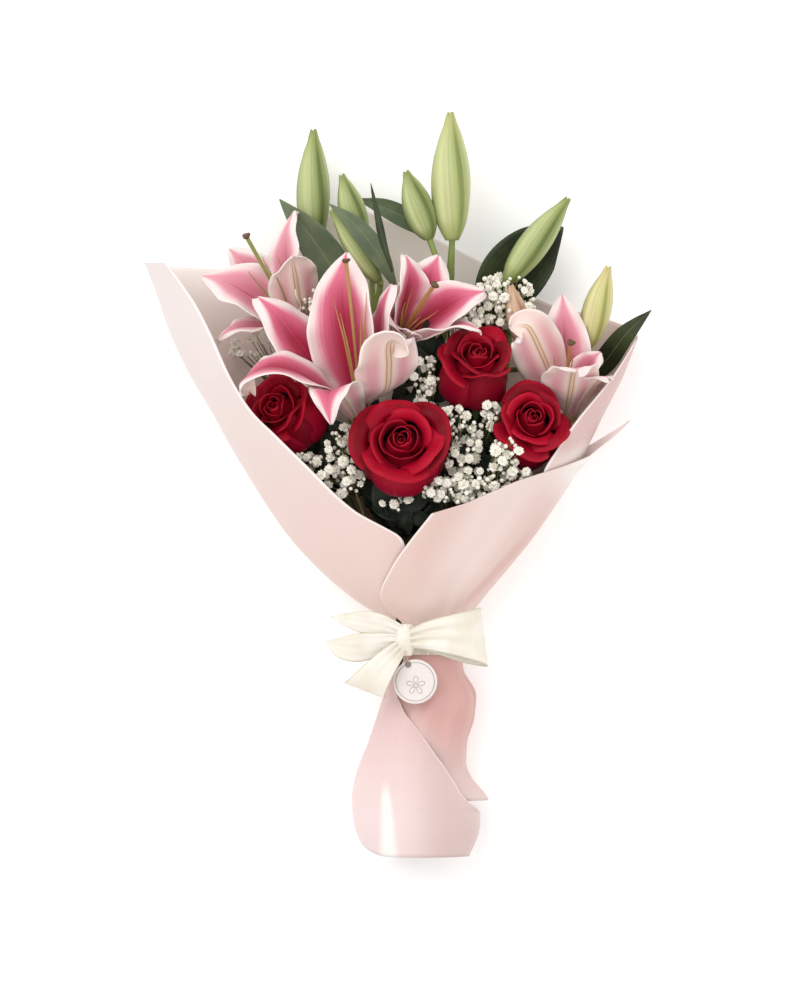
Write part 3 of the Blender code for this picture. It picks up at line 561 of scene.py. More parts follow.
def leaf_finish(name, dark, light, gloss, middle):
    """A leaf: veins run its length; middle is the shade of its rib and tip."""
    paint = Finish(name, gloss, Specular_IOR_Level=0.45)
    along, across = paint.read("along", "across")
    veins = (across * 42).wave()
    cloud = paint.speckle(40)
    colour = paint.mix((cloud.rise(0.3, 0.7) * 0.7 + veins * 0.18).held(), dark, light)
    rib = 1 - abs(across).rise(0.012, 0.05)
    colour = paint.mix(rib * 0.5, colour, middle)
    colour = paint.mix(along.rise(0.95, 1.0) * 0.3, colour, middle)
    return paint.paint(colour, gloss + cloud * 0.15, veins * 0.5 - rib, 0.3, 0.0004)


def stem_finish(name, base, light):
    """A smooth green stem, streaked along its length."""
    paint = Finish(name, 0.5)
    along, across = paint.read("along", "across")
    streak = paint.streaks(across * 9, along * 26, 0.1)
    return paint.paint(paint.mix(streak, base, light), 0.45 + streak * 0.15, streak, 0.3, 0.0004)


def rose_finish():
    """Velvet red petals, bright at the rim with a painted highlight and dark in the heart with
    painted shade.
    """
    paint = Finish("rose_velvet", 0.5, Sheen_Weight=0.06, Sheen_Roughness=0.4,
                   Specular_IOR_Level=0.14, Sheen_Tint=(1.0, 0.2, 0.3, 1.0))
    along, across, tone = paint.read("along", "across", "tone")
    streak = paint.streaks(across * 9, along * 3, tone * 23)
    # Each petal is darker at its foot, deep in the bloom, than at its top: painted shade.
    low = paint.mix(tone, srgb(104, 0, 24), srgb(166, 4, 48))
    high = paint.mix(tone, srgb(118, 0, 22), srgb(178, 2, 40))
    colour = paint.mix(along.rise(0.35, 0.85), low, high)
    colour = paint.mix(streak.rise(0.45, 0.85) * 0.45, colour, srgb(104, 0, 14))
    # A lighter line along each petal's rim: painted highlight.
    colour = paint.mix(along.rise(0.965, 0.99) * 0.4, colour, srgb(198, 26, 50))
    return paint.paint(colour, 0.4 + streak * 0.2, streak, 0.22, 0.0005)


def floret_finish():
    """Cream blossoms, yellower at the eye."""
    paint = Finish("gypsophila_petal", 0.65, Sheen_Weight=0.2)
    along, tone = paint.read("along", "tone")
    cloud = paint.speckle(420)
    colour = paint.mix(along.rise(0.05, 0.55), srgb(222, 220, 178), srgb(255, 252, 242))
    colour = paint.mix(cloud.rise(0.4, 0.75) * 0.25, colour, srgb(238, 230, 208))
    colour = paint.mix(tone * 0.3, colour, srgb(228, 222, 190))
    return paint.paint(colour, 0.62, cloud, 0.3, 0.0003)


PAPER_IN = paper_inside()
PAPER_OUT = paper_outside()
SATIN = satin_finish()
CARD = card_finish()
INK = ink_finish()
STRING = string_finish()
LILY_FACE = lily_face()
LILY_BACK = lily_back()
PISTIL_TAN = pistil_finish("lily_pistil_tan", srgb(194, 170, 96), srgb(178, 128, 80))
PISTIL_GREEN = pistil_finish("lily_pistil_green", srgb(178, 178, 104), srgb(132, 146, 74))
STIGMA = mottled("lily_stigma", srgb(70, 48, 32), srgb(112, 84, 52), 0.6, 500, 0.5, 0.0004)
BUD_GREEN = bud_finish("bud_green", srgb(196, 204, 146), srgb(112, 128, 60), srgb(84, 98, 44),
                       srgb(136, 146, 72))
BUD_PALE = bud_finish("bud_pale", srgb(208, 212, 156), srgb(148, 160, 90), srgb(112, 124, 64),
                      srgb(176, 176, 110))
BUD_YELLOW = bud_finish("bud_yellow", srgb(226, 220, 166), srgb(186, 186, 110),
                        srgb(140, 136, 70), srgb(206, 190, 128))
BUD_PEACH = bud_finish("bud_peach", srgb(226, 196, 172), srgb(190, 152, 122), srgb(158, 112, 84),
                       srgb(206, 170, 138))
LEAF_RIB = srgb(140, 150, 96)
LEAF_GREY = leaf_finish("leaf_grey_green", srgb(76, 92, 66), srgb(112, 124, 92), 0.42, LEAF_RIB)
LEAF_DARK = leaf_finish("leaf_dark_green", srgb(26, 36, 18), srgb(62, 74, 38), 0.5, LEAF_RIB)
# The filler sprigs' green, made nearly black: painted shade in the gaps deep in the bunch.
LEAF_DEEP = leaf_finish("leaf_deep_shade", srgb(12, 18, 10), srgb(30, 42, 22), 0.6,
                        srgb(38, 50, 28))
LILY_STEM = stem_finish("lily_stem_green", srgb(112, 130, 62), srgb(152, 166, 96))
ROSE_STEM = stem_finish("rose_stem_green", srgb(78, 92, 42), srgb(122, 134, 72))
ROSE = rose_finish()
FLORET = floret_finish()
STRAW = mottled("gypsophila_stalk", srgb(86, 92, 48), srgb(132, 132, 84), 0.6, 240, 0.3, 0.0003)
BINDING = mottled("binding_tape", srgb(88, 96, 62), srgb(124, 128, 88), 0.7, 160, 0.4, 0.0004)


# ---------------------------------------------------------------- paper wrap

NECK_TOP = -97.0
NECK_END = -125.0
PAPER_THICK = 0.6
BACK_SHEET_BOTTOM = -260
FRONT_SHEET_BOTTOM = -221

# Cross-sections of the wrap: y, left edge, right edge, height of the sides, height of the front,
# height of the back, and the share of the back that is flat.
SECTIONS = (
    (205, -206, 204, 24, 74, 0.3, 0.5),
    (156, -177, 186, 29, 88, 0.3, 0.5),
    (103, -157, 169, 40, 106, 0.3, 0.5),
    (60, -135, 152, 46, 119, 0.3, 0.5),
    (17, -112, 131, 47, 114, 0.3, 0.5),
    (-32, -81, 99, 43, 92, 0.3, 0.45),
    (-60, -55, 76, 39, 78, 0.6, 0.35),
    (-80, -31, 59, 34, 66, 2.5, 0.2),
    (-97, -8, 49, 31, 57, 6, 0.0),
    (-125, -5.5, 48, 31, 57, 6, 0.0),
    (-132, -5.5, 48.5, 31, 57, 6, 0.0),
    (-147, -6.5, 57, 31, 58, 5, 0.0),
    (-160, -10.5, 55.5, 31, 59, 4, 0.08),
    (-182, -18.5, 51, 31, 60, 3, 0.15),
    (-200, -26, 49, 31, 61, 2, 0.2),
    (-218, -30, 55, 31, 61, 1.8, 0.25),
    (-242, -28, 56, 31, 60, 1.8, 0.25),
    (-260, -19, 49, 31, 56, 4, 0.2),
)
SECTION_LINES = [[(-row[0], row[column]) for row in SECTIONS] for column in range(1, 7)]


def section_at(y):
    """The wrap's cross-section at one place along it."""
    return [curve(line, -y) for line in SECTION_LINES]


def wrap_point(angle, y, grow, flare=0.0):
    """A point of the wrap: 0 degrees is the middle of the back, 90 the right side, 180 front."""
    left, right, side_z, front_z, back_z, flat = section_at(y)
    middle = (left + right) / 2
    half = (right - left) / 2 + grow + flare
    front_z += grow
    back_z = max(back_z - grow, 0.3)
    if abs(angle) <= 90:
        share = abs(angle) / 90
        turn = max(share - flat, 0) / (1 - flat) * pi / 2
        reach = min(share, flat) + (1 - flat) * sin(turn)
        x = middle + (half * reach if angle > 0 else -half * reach)
        return Vector((x, y, side_z - (side_z - back_z) * cos(turn)))
    turn = radians(abs(angle) - 90)
    sign = 1 if angle > 0 else -1
    return Vector((middle + sign * half * cos(turn), y, side_z + (front_z - side_z) * sin(turn)))


def front_angle(x, y, sign):
    """The angle of the front point of the wrap that lies at x, counted from one side."""
    left, right = section_at(y)[:2]
    reach = sign * (x - (left + right) / 2) / ((right - left) / 2)
    return sign * (90 + degrees(acos(min(max(reach, -1.0), 1.0))))


# The sheets. Edges hold x against -y, starts and ends hold the angle round the wrap against -y,
# tops hold y against the share of the sheet's width, and growths hold how far a sheet stands off.
BACK_SHEET_EDGE = (
    (-156, -162), (-128, -142), (-107, -130.5), (-79, -117.5), (-51, -102), (-34, -85),
    (-17, -67.5), (17, -31), (32, -4), (34.5, 0.5), (36, 2.5), (43, 6), (60, 4), (80, 0),
    (95, -2), (125, -1), (150, 2), (181, 22), (206, 38), (219, 46), (230, 57), (260, 60),
)
BACK_SHEET_END = (
    (-103, 98), (-71, 111), (-42, 121), (-22, 125), (-9, 126), (20, 118), (50, 80), (75, 28),
    (92, -4), (105, -14), (125, -10), (160, 10), (200, 45), (260, 60),
)
BACK_SHEET_TOP = (
    (0, 155), (0.105, 156), (0.267, 152), (0.38, 172), (0.49, 199), (0.567, 183), (0.614, 171),
    (0.79, 126), (0.962, 103), (1, 101),
)
BACK_SHEET_GROW = ((-75, 0), (-48, -2.4), (97, -2.4), (108, 0), (125, 1.4), (260, 1.4))
FRONT_SHEET_EDGE = (
    (20, 24), (43, 6), (59, -4.5), (77, -11.5), (88, -5), (97, 4), (118, 5), (135, -2),
    (150, -7), (221, -10),
)
FRONT_SHEET_START = ((-45, -20), (60, -20), (80, -10), (92, 2), (125, 4), (160, -12), (221, -12))
FRONT_SHEET_TOP = (
    (0, -20), (0.3, 2), (0.48, 22), (0.55, 39), (0.58, 45), (0.63, 20), (0.77, 8), (0.83, 2),
    (0.93, -13), (1, -20),
)
FRONT_SHEET_GROW = ((97, 0), (108, 0), (125, -1.8), (221, -1.8))


def front_sheet_flare(angle, y):
    """The pointed corner of the front sheet stands away from the side of the wrap."""
    rise = min(max((y - 12) / 33, 0.0), 1.0)
    lean = max(1 - abs(angle - 96) / 40, 0.0)
    corner = min(max((-195 - y) / 24, 0.0), 1.0) * max(1 - abs(angle - 92) / 30, 0.0)
    return 19 * rise * lean + 10 * corner


def gathers(angle, y, seed):
    """Soft pleats that run out of the tie and die away up the wrap and down the skirt."""
    away = max(y - NECK_TOP, NECK_END - y, 0.0)
    if y > NECK_TOP:
        pull = exp(-away / 55) * (1 - exp(-away / 10))
        size = 1.5
    else:
        pull = exp(-away / 60) * (1 - exp(-away / 9))
        size = 2.2
    turn = radians(angle)
    pleats = sin(turn * 7 + seed) + 0.6 * sin(turn * 12 + 2.1 * seed) + 0.4 * sin(turn * 19 + seed)
    broad = noise.noise(Vector((turn * 1.6, y * 0.012, seed))) * 1.6
    return pleats * pull * size * 0.5 + broad * min(away / 60, 1.0)


def side_crease(angle, y):
    """A long fold down the right side of the front sheet."""
    line = 124 - (y + 20) * 0.22
    deep = ease(-97, -78, y) * (1 - ease(-5, 25, y))
    off = angle - line
    lift = deep * (1.5 * exp(-(off / 7.0) ** 2) - 1.4 * exp(-((off - 14) / 8.0) ** 2))
    waves = sin((y + 135) * 0.21 - (angle - 120) * 0.045) * 0.7
    return lift + waves * ease(-132, -150, y) * ease(40, 80, angle)


def hem_rise(angle):
    """The hem curves up a little towards both sides."""
    return 9 * max(1 - abs(abs(angle) - 90) / 55, 0.0) ** 1.5


def sheet_rows(start, end, top, bottom, grow, rows, columns, seed, flare=None, crease=None):
    """A sheet of paper on the wrap, from one side angle to another.

    rows counts the rows above, at and below the tie; grow holds the sheet off the wrap.
    """
    above, tie, below = rows
    lines = []
    for column in range(columns):
        across = column / (columns - 1)
        high = read(top, across)
        low = bottom
        if bottom == BACK_SHEET_BOTTOM:
            low += hem_rise(start(bottom) + (end(bottom) - start(bottom)) * across)
        places = [high + (NECK_TOP - high) * step / above for step in range(above)]
        places += [NECK_TOP + (NECK_END - NECK_TOP) * step / tie for step in range(tie)]
        places += [NECK_END + (low - NECK_END) * step / below for step in range(below + 1)]
        line = []
        for y in places:
            angle = start(y) + (end(y) - start(y)) * across
            spread_out = flare(angle, y) if flare else 0.0
            lift = gathers(angle, y, seed) * ease(40, 75, abs(angle))
            if crease:
                lift += crease(angle, y)
            line.append(wrap_point(angle, y, read(grow, -y) + lift, spread_out))
        lines.append(line)
    return [list(row) for row in zip(*lines)]


def build_wrap():
    """The two sheets of paper: the outside first, the inside second."""
    back = Shape()
    back.grid(sheet_rows(
        lambda y: front_angle(curve(BACK_SHEET_EDGE, -y), y, -1),
        lambda y: curve(BACK_SHEET_END, -y),
        BACK_SHEET_TOP, BACK_SHEET_BOTTOM, BACK_SHEET_GROW, rows=(100, 10, 44), columns=150,
        seed=1.3))
    back.piece("paper_back_sheet", [PAPER_OUT, PAPER_IN], "paper", ["wrap_back_sheet"],
               PAPER_THICK)
    front = Shape()
    front.grid(sheet_rows(
        lambda y: curve(FRONT_SHEET_START, -y),
        lambda y: front_angle(curve(FRONT_SHEET_EDGE, -y), y, 1),
        FRONT_SHEET_TOP, FRONT_SHEET_BOTTOM, FRONT_SHEET_GROW, rows=(70, 10, 40), columns=120,
        seed=4.1, flare=front_sheet_flare, crease=side_crease))
    front.piece("paper_front_sheet", [PAPER_OUT, PAPER_IN], "paper", ["wrap_front_sheet"],
                PAPER_THICK)


# ---------------------------------------------------------------- ribbon and tag

def ribbon_rows(knots, ways, widths, count, columns, pleat, pleat_from):
    """A ribbon along knots. ways are its width directions, widths its half widths."""
    path = smooth_path(knots, count)
    rows = []
    for number, (centre, way) in enumerate(zip(path, smooth_path(ways, count))):
        along = number / (count - 1)
        ahead = path[min(number + 1, count - 1)] - path[max(number - 1, 0)]
        way = way.normalized()
        up = ahead.cross(way).normalized()
        half = curve(widths, along)
        fold = pleat * (exp(-((along - pleat_from) / 0.16) ** 2) + 0.12)
        rows.append([centre + way * c * half
                     + up * (fold * cos(c * 3.3 * pi + 0.6) * (1 - 0.5 * c * c))
                     for c in spread(columns)])
    return rows


NECK_BAND_TOP = -98.5
NECK_BAND_WIDTH = 20
# The bow's two loops and two tails: knots, width directions, half widths along the length,
# rows, columns, the depth of the pleats and where along the length they are deepest.
BOW = (
    (((7, -107, 69), (22, -104.5, 74), (42, -104, 76.5), (57, -105, 72.5), (61, -106, 68),
      (56, -106.5, 64.5), (38, -107, 65), (22, -107, 65.5), (8, -107.5, 64.5)),
     ((0, 1, 0), (0.05, 1, 0.04), (0.03, 1, 0.06), (-0.1, 1, 0.02), (-0.12, 1, 0),
      (-0.08, 1, 0), (0, 1, 0), (0, 1, 0), (0, 1, 0)),
     ((0, 6), (0.12, 10), (0.28, 16), (0.42, 20), (0.52, 20.5), (0.65, 19), (0.8, 12), (1, 5)),
     90, 21, 1.8, 0.02),
    (((5, -110, 68), (-4, -119, 74), (-14, -131, 76), (-21, -141, 73.5), (-22, -143, 70),
      (-18, -137, 65.5), (-8, -124, 65.5), (4, -111, 65)),
     ((0.8, -0.6, 0), (0.85, -0.5, 0.1), (0.9, -0.4, 0.1), (0.92, -0.36, 0), (0.92, -0.36, 0),
      (0.9, -0.45, 0), (0.8, -0.6, 0), (0.8, -0.6, 0)),
     ((0, 4.5), (0.15, 8), (0.35, 12.5), (0.52, 15), (0.62, 14.5), (0.8, 9), (1, 4)),
     80, 17, 1.5, 0.02),
    (((6, -104, 66), (-8, -99, 69), (-20, -96, 67.5), (-33, -94, 64.5), (-46, -91.5, 62)),
     ((0.3, 1, 0.3), (0.25, 1, 0.35), (0.2, 1, 0.25), (0.25, 1, 0.1), (0.3, 1, 0)),
     ((0, 5), (0.3, 8.5), (0.55, 8), (0.8, 4.5), (1, 0.3)), 50, 15, 1.2, 0.0),
    (((6, -109, 66), (-9, -110.5, 68.5), (-22, -113, 66), (-36, -112.5, 62), (-49, -109, 58)),
     ((0.1, 1, 0.3), (0.15, 1, 0.35), (0.15, 1, 0.2), (0.5, 1, 0.1), (0.9, 1, 0)),
     ((0, 5), (0.3, 8.5), (0.6, 10.5), (0.8, 8), (1, 0.4)), 50, 15, 1.3, 0.0),
)


def band_point(s, turn):
    """The band lies on the paper, with two low rolls in its width."""
    angle = turn - pi
    roll = 0.5 * sin(19.6 * s + angle * 2) * sin(pi * s)
    return wrap_point(degrees(angle), NECK_BAND_TOP - NECK_BAND_WIDTH * s, 2.5 + roll)


def knot_point(s, turn):
    """The knot is a short gathered barrel across the tie."""
    crease = 1 + 0.07 * sin(5 * turn + 4 * s) + 0.04 * sin(9 * turn - 6 * s)
    swell = 0.55 + 0.45 * sin(pi * min(max(s, 0.02), 0.98)) ** 0.7
    return Vector((6 + 7.2 * cos(turn) * crease * swell, -97 - 22 * s,
                   64.5 + 6.4 * sin(turn) * crease * swell))


def build_ribbon():
    """The satin band round the neck, and the bow on it."""
    band = Shape()
    band.grid(rings(15, 120, band_point), closed=True)
    band = band.piece("ribbon_round_neck", [SATIN], "satin_ribbon", ["ribbon_band"], 0.5)

    bow = Shape()
    bow.grid(rings(21, 40, knot_point), closed=True, ends=True)
    for part in BOW:
        bow.grid(ribbon_rows(*part))
    bow = bow.piece("ribbon_bow_satin", [SATIN], "satin_ribbon", ["ribbon_bow"], 0.4)


TAG_CENTRE = (13, -137)
TAG_HEIGHT = 66.9
TAG_RADIUS = 15.5
EYELET = (8, -125)


HOLE_RADIUS = 1.7
BORDER_RADIUS = 13.4
MARK_CENTRE = (13.4, -139.6)
MARK_EYE_RADIUS = 1.2
MARK_PETALS = 5
MARK_PETAL_OUT = 4.2
MARK_PETAL_LENGTH = 4.8
MARK_PETAL_WIDTH = 3.0
INK_LINE = 0.17
THREAD_RADIUS = 0.45
THREAD = ((6, -118.4, 66.5), (7, -119.6, 68.6), (8, -122, 68.8), (8, -125, 66.5),
          (8.4, -123, 64.5), (6.4, -120, 64.2), (6, -117.8, 63.0))


def add_ring(shape, centre, radius, wire, z, sides, round_sides):
    """A flat ring of round wire."""
    def place(s, tip):
        reach = radius + wire * cos(tip)
        return Vector((centre[0] + reach * cos(2 * pi * s), centre[1] + reach * sin(2 * pi * s),
                       z + wire * sin(tip)))
    shape.grid(rings(sides + 1, round_sides, place), closed=True)


def disc_point(s, turn):
    """The tag runs from its hole out to its rim, and curls down a little at both sides."""
    x, y = TAG_CENTRE
    hole = Vector((EYELET[0] - x + HOLE_RADIUS * cos(turn), EYELET[1] - y + HOLE_RADIUS * sin(turn)))
    rim = Vector((TAG_RADIUS * cos(turn), TAG_RADIUS * sin(turn)))
    spot = hole.lerp(rim, s ** 0.8)
    return Vector((x + spot.x, y + spot.y, TAG_HEIGHT - 0.35 * (spot.x / TAG_RADIUS) ** 2))


def build_tag():
    """A round card with a hole, a thin border and a small five-petal mark."""
    disc = Shape()
    disc.grid(rings(17, 96, disc_point), closed=True)
    disc.piece("tag_card_disc", [CARD], "card", ["tag_disc"], 0.7, 1.0)
    mark = Shape()
    add_ring(mark, TAG_CENTRE, BORDER_RADIUS, 0.16, TAG_HEIGHT + 0.02, 72, 6)
    for petal in range(MARK_PETALS):
        lean = radians(90 + 360 / MARK_PETALS * petal)
        knots = []
        for step in range(9):
            turn = 2 * pi * step / 8
            reach = MARK_PETAL_OUT + MARK_PETAL_LENGTH / 2 * cos(turn)
            side = MARK_PETAL_WIDTH / 2 * sin(turn)
            knots.append((MARK_CENTRE[0] + reach * cos(lean) - side * sin(lean),
                          MARK_CENTRE[1] + reach * sin(lean) + side * cos(lean),
                          TAG_HEIGHT, INK_LINE))
        tube(mark, knots, 33, 6)
    add_ring(mark, MARK_CENTRE, MARK_EYE_RADIUS, INK_LINE, TAG_HEIGHT, 24, 6)
    mark.piece("tag_mark", [INK], "card")
    eye = Shape()
    add_ring(eye, EYELET, 1.8, 0.4, TAG_HEIGHT - 0.05, 32, 10)
    eye.piece("tag_eyelet_rim", [INK], "card")
    string = Shape()
    tube(string, knots_with(THREAD_RADIUS, THREAD), 60, 8)
    string.piece("tag_string_loop", [STRING], "string", ["tag_string"])


# ---------------------------------------------------------------- lilies

# Each lily: where its throat is, its axis, how pink it is, how broad its petals are made, the
# pistil's places, and its petals. A petal has a name, its turn round the axis, how far it swings
# aside on the way to its tip, its half width, and knots of height along the axis and radius.
LILIES = {
    "lily_1": {
        "base": (-24, 46, 50), "axis": (-0.27, 0.62, 0.73), "tone": 1.0, "breadth": 1.14,
        "green_pistil": False,
        "pistil": ((-27, 76, 86), (-31, 118, 104), (-35, 154, 109)),
        "tepals": (
            ("right_front", 46, 16, 19.5, ((36, 29), (60, 38), (84, 45), (80, 57))),
            ("right_back", 100, 16, 14, ((34, 22), (62, 40), (88, 56))),
            ("back", 148, -2, 21.5, ((40, 15), (66, 26), (90, 41), (108, 60))),
            ("left_high", 220, -10, 18, ((35, 21), (59, 35), (81, 47), (100, 57))),
            ("left_low", 280, -24, 17, ((42, 16), (68, 29), (80, 45), (74, 62), (62, 70))),
            ("front_left", 338, -4, 14, ((36, 14), (58, 23), (69, 35), (60, 52))),
        )},
    "lily_2": {
        "base": (1, 98, 42), "axis": (0.32, 0.55, 0.77), "tone": 0.9, "breadth": 1.3,
        "green_pistil": False,
        "pistil": ((10, 116, 68), (26, 138, 92)),
        "tepals": (
            ("front", 10, 0, 8, ((30, 14), (44, 19))),
            ("right_front", 76, 14, 12, ((30, 18), (50, 29), (62, 42))),
            ("right_back", 130, 0, 14, ((32, 15), (52, 26), (66, 40))),
            ("back", 190, 0, 14, ((30, 17), (48, 26), (62, 35))),
            ("left_back", 250, -14, 13, ((34, 13), (54, 19), (69, 27))),
            ("left_front", 310, 0, 11, ((28, 15), (44, 23))),
        )},
    "lily_3": {
        "base": (-67, 104, 32), "axis": (-0.45, 0.65, 0.61), "tone": 0.38, "breadth": 1.2,
        "green_pistil": True,
        "pistil": ((-82, 132, 57), (-104, 172, 82)),
        "tepals": (
            ("front", 341.5, 0, 4.6, ((24, 13.5), (36, 19))),
            ("right_front", 50, 16, 15, ((34, 16), (56, 24), (73, 30))),
            ("right_back", 110, 18, 15, ((34, 16), (56, 31), (72, 54))),
            ("back", 170, 18, 13, ((30, 22), (47, 37), (62, 50))),
            ("left_back", 230, -6, 18, ((34, 12), (55, 25), (71, 44))),
            ("left_front", 288, -12, 12, ((26, 18), (40, 32), (46, 48))),
        )},
    "lily_4": {
        "base": (117, 47, 34), "axis": (0.06, 0.7, 0.71), "tone": 0.45, "breadth": 1.22,
        "green_pistil": False,
        "pistil": ((118, 70, 60), (121, 98, 82)),
        "tepals": (
            ("front", 10, 0, 16, ((36, 13), (60, 17), (76, 24))),
            ("right_front", 70, 0, 12, ((28, 15), (46, 22), (56, 28))),
            ("right_back", 128, 0, 10, ((30, 13), (44, 19), (52, 24))),
            ("back", 190, 0, 15, ((30, 18), (54, 30), (75, 45))),
            ("left_back", 250, 0, 15, ((34, 12), (58, 23), (74, 33), (70, 42))),
            ("left_front", 310, 0, 6, ((17, 11), (22, 11))),
        )},
}
# Tepals whose outer side is turned to another place in the whorl than their own.
OUTER_SIDE = {
    "lily_1_tepal_right_front": 4, "lily_3_tepal_right_front": 0, "lily_4_tepal_left_back": 30,
    "lily_4_tepal_right_front": 30, "lily_2_tepal_right_front": 60,
}
INNER_CLAW = ((0, 5.4), (16, 7.6))
OUTER_CLAW = ((-1, 7.4), (14, 10.5))
TEPAL_WIDTHS = ((0, 0.16), (0.12, 0.22), (0.28, 0.62), (0.45, 0.95), (0.6, 1.04), (0.75, 0.9),
                (0.88, 0.58), (0.96, 0.28), (1.0, 0.04))


def whorl(axis):
    """The directions of a flower's whorl: along its axis, up from the surface, and right."""
    along = Vector(axis).normalized()
    up = Vector((0, 0, 1))
    up = (up - up.dot(along) * along).normalized()
    return along, up, along.cross(up)


def build_tepal(lily, flower, index, number):
    """One petal: a ruffled blade on a spine that leaves the throat and rolls back."""
    label, turn, swing, half, profile = flower["tepals"][index]
    along, up, right = whorl(flower["axis"])
    knots = (INNER_CLAW if index % 2 == 0 else OUTER_CLAW) + profile
    last = len(knots) - 1
    spine = []
    for step, (height, radius) in enumerate(knots):
        out = around(up, right, radians(turn + swing * step / last))
        spine.append(Vector(flower["base"]) + along * height + out * radius)
    path = smooth_path(spine, 44)
    length = sum((b - a).length for a, b in zip(path, path[1:]))
    seed = number * 1.7
    name = f"{lily}_tepal_{label}"
    facing = -around(up, right, radians(OUTER_SIDE.get(name, turn)))
    radii = [(step / last, knot[1]) for step, knot in enumerate(knots)]

    def half_width(s):
        return max(half * flower["breadth"] * curve(TEPAL_WIDTHS, s), 0.3)

    def lift(s, c, wide):
        hollow = min(0.55 * wide / read(radii, s), 0.5) * (1 - 0.55 * ease(0.7, 1.0, s))
        tip = -7.0 * ease(0.78, 1.06, s) ** 2 * (length / 90)
        ruffle = abs(c) ** 3 * half * 0.11 * ease(0.15, 0.4, s) * (
            sin(2 * pi * (2.6 * s) + seed + (0 if c > 0 else 2.4))
            + 0.5 * sin(2 * pi * (5.3 * s) + 2 * seed + c))
        turn_back = -ease(0.55, 1.0, abs(c)) * half * 0.16 * ease(0.25, 0.5, s)
        groove = -0.9 * exp(-(c / 0.07) ** 2) * (1 - ease(0.75, 1.0, s))
        return hollow * wide * c * c + ruffle + turn_back + groove + tip

    shape = Shape()
    rows = strip(path, facing, 25, half_width, lift)
    shape.grid([row[::-1] for row in rows], tone=flower["tone"])
    shape.piece(f"{name}_petal", [LILY_BACK, LILY_FACE], "lily_petal", [name], 0.8, -1.0)


FILAMENT_COUNT = 5
# Of the pistil's foot: height along the axis and radius. Of a filament: the step along the
# pistil, the distance out from it and the radius.
PISTIL_FOOT = ((-4, 6.0), (-1.8, 6.4), (-1.2, 4.2), (2, 4.0), (8, 2.0))
FILAMENT = ((0, 1.4, 1.0), (2, 3.6, 0.85), (4, 7, 0.7), (5, 10, 0.5), (6, 12.5, 0.2))


def build_lily_centre(lily, flower):
    """Pistil with a three-lobed stigma and tapered filaments."""
    along, up, right = whorl(flower["axis"])
    base = Vector(flower["base"])
    *places, tip = [Vector(place) for place in flower["pistil"]]
    shape = Shape()
    foot = [(*(base + along * height), radius) for height, radius in PISTIL_FOOT]
    tube(shape, foot + knots_with(1.15, places) + [(*tip, 1.5)], 60, 14)
    core = smooth_path([base + along * 1.5, *places, tip], 9)
    for count in range(FILAMENT_COUNT):
        out = around(up, right, radians(360 / FILAMENT_COUNT * count + 20))
        tube(shape, [(*(core[step] + out * reach), radius) for step, reach, radius in FILAMENT],
             30, 10)
    end = (tip - core[-3]).normalized()
    side = end.cross(Vector((0, 0, 1))).normalized()
    lift = side.cross(end)

    def stigma_point(s, turn):
        reach = sin(pi * min(0.06 + s * 0.9, 1.0)) ** 0.6 * 2.9
        lobe = 1 + 0.2 * cos(3 * turn) * ease(0.1, 0.6, s)
        return (tip + end * (s * 4.2 - 1.0 - 1.1 * ease(0.7, 1.0, s))
                + around(side, lift, turn) * reach * lobe)

    shape.grid(rings(13, 36, stigma_point), closed=True, finish=1, ends=True)
    style_finish = PISTIL_GREEN if flower["green_pistil"] else PISTIL_TAN
    shape.piece(f"{lily}_pistil", [style_finish, STIGMA], "lily_centre", [f"{lily}_centre"])


# Each lily's stem: its places down to the tie, where the open flower's own stalk leaves it, and
# its buds (bottom, tip, radius and finish) with the places where their stalks leave it.
LILY_STEMS = {
    "lily_1": {
        "main": ((-11, 143, 48), (-16, 100, 25), (-15, 50, 22), (-5, 0, 30)),
        "flower_from": (-7, 12, 29),
        "buds": (((-12, 142, 50), (-45, 192, 53), 8, "green"),
                 ((-24, 170, 36), (-38, 217, 38), 9.5, "green")),
        "forks": ((-11, 141, 47), (-16, 102, 26)),
    },
    "lily_2": {
        "main": ((39, 172, 45), (36, 130, 28), (26, 70, 24), (22, 0, 28)),
        "flower_from": (22, 30, 26),
        "buds": (((39, 171, 45), (38, 260, 47), 13.5, "pale"),
                 ((23, 172, 45), (7, 219, 48), 10.5, "green")),
        "forks": ((38, 169, 44), (35, 128, 28)),
    },
    "lily_3": {
        "main": ((-58, 170, 22), (-50, 130, 14), (-38, 70, 14), (-20, 10, 20)),
        "flower_from": (-32, 50, 15),
        "buds": (((-58, 169, 22), (-58, 249, 28), 11.5, "green"),),
        "forks": ((-57, 167, 22),),
    },
    "lily_4": {
        "main": ((77, 143, 44), (78, 110, 36), (72, 60, 24), (56, 0, 24)),
        "flower_from": (56, -4, 24),
        "buds": (((77, 142, 44), (120, 200, 46), 10.5, "green"),
                 ((134, 97, 36), (148, 152, 54), 10, "yellow"),
                 ((89, 98, 52), (80, 139, 60), 8, "peach")),
        "forks": ((76, 140, 43), (57, 2, 24), (75, 80, 28)),
    },
}
BUNDLE_X = 21.5
BUNDLE_Z = 31.0
NECK_Y = -105.0
TAIL_Y = -236.0
TAIL_SPREAD = 1.12
BUNDLE = {
    "rose_1": (9.5, 38.5), "rose_2": (18, 46), "rose_3": (25, 45.5), "rose_4": (33.5, 37.5),
    "lily_1": (16, 34), "lily_2": (26, 34), "lily_3": (7.5, 29), "lily_4": (35, 29),
    "greenery_1": (12, 21), "greenery_2": (30, 20),
    "gypsophila_1": (12.6, 45.6), "gypsophila_2": (31.2, 43.4), "gypsophila_3": (21.4, 40.6),
    "gypsophila_4": (35.6, 20.6),
}
BUD_PROFILE = ((0, 0.34), (0.06, 0.55), (0.16, 0.8), (0.36, 1.0), (0.58, 0.95), (0.78, 0.66),
               (0.92, 0.34), (1.0, 0.1))
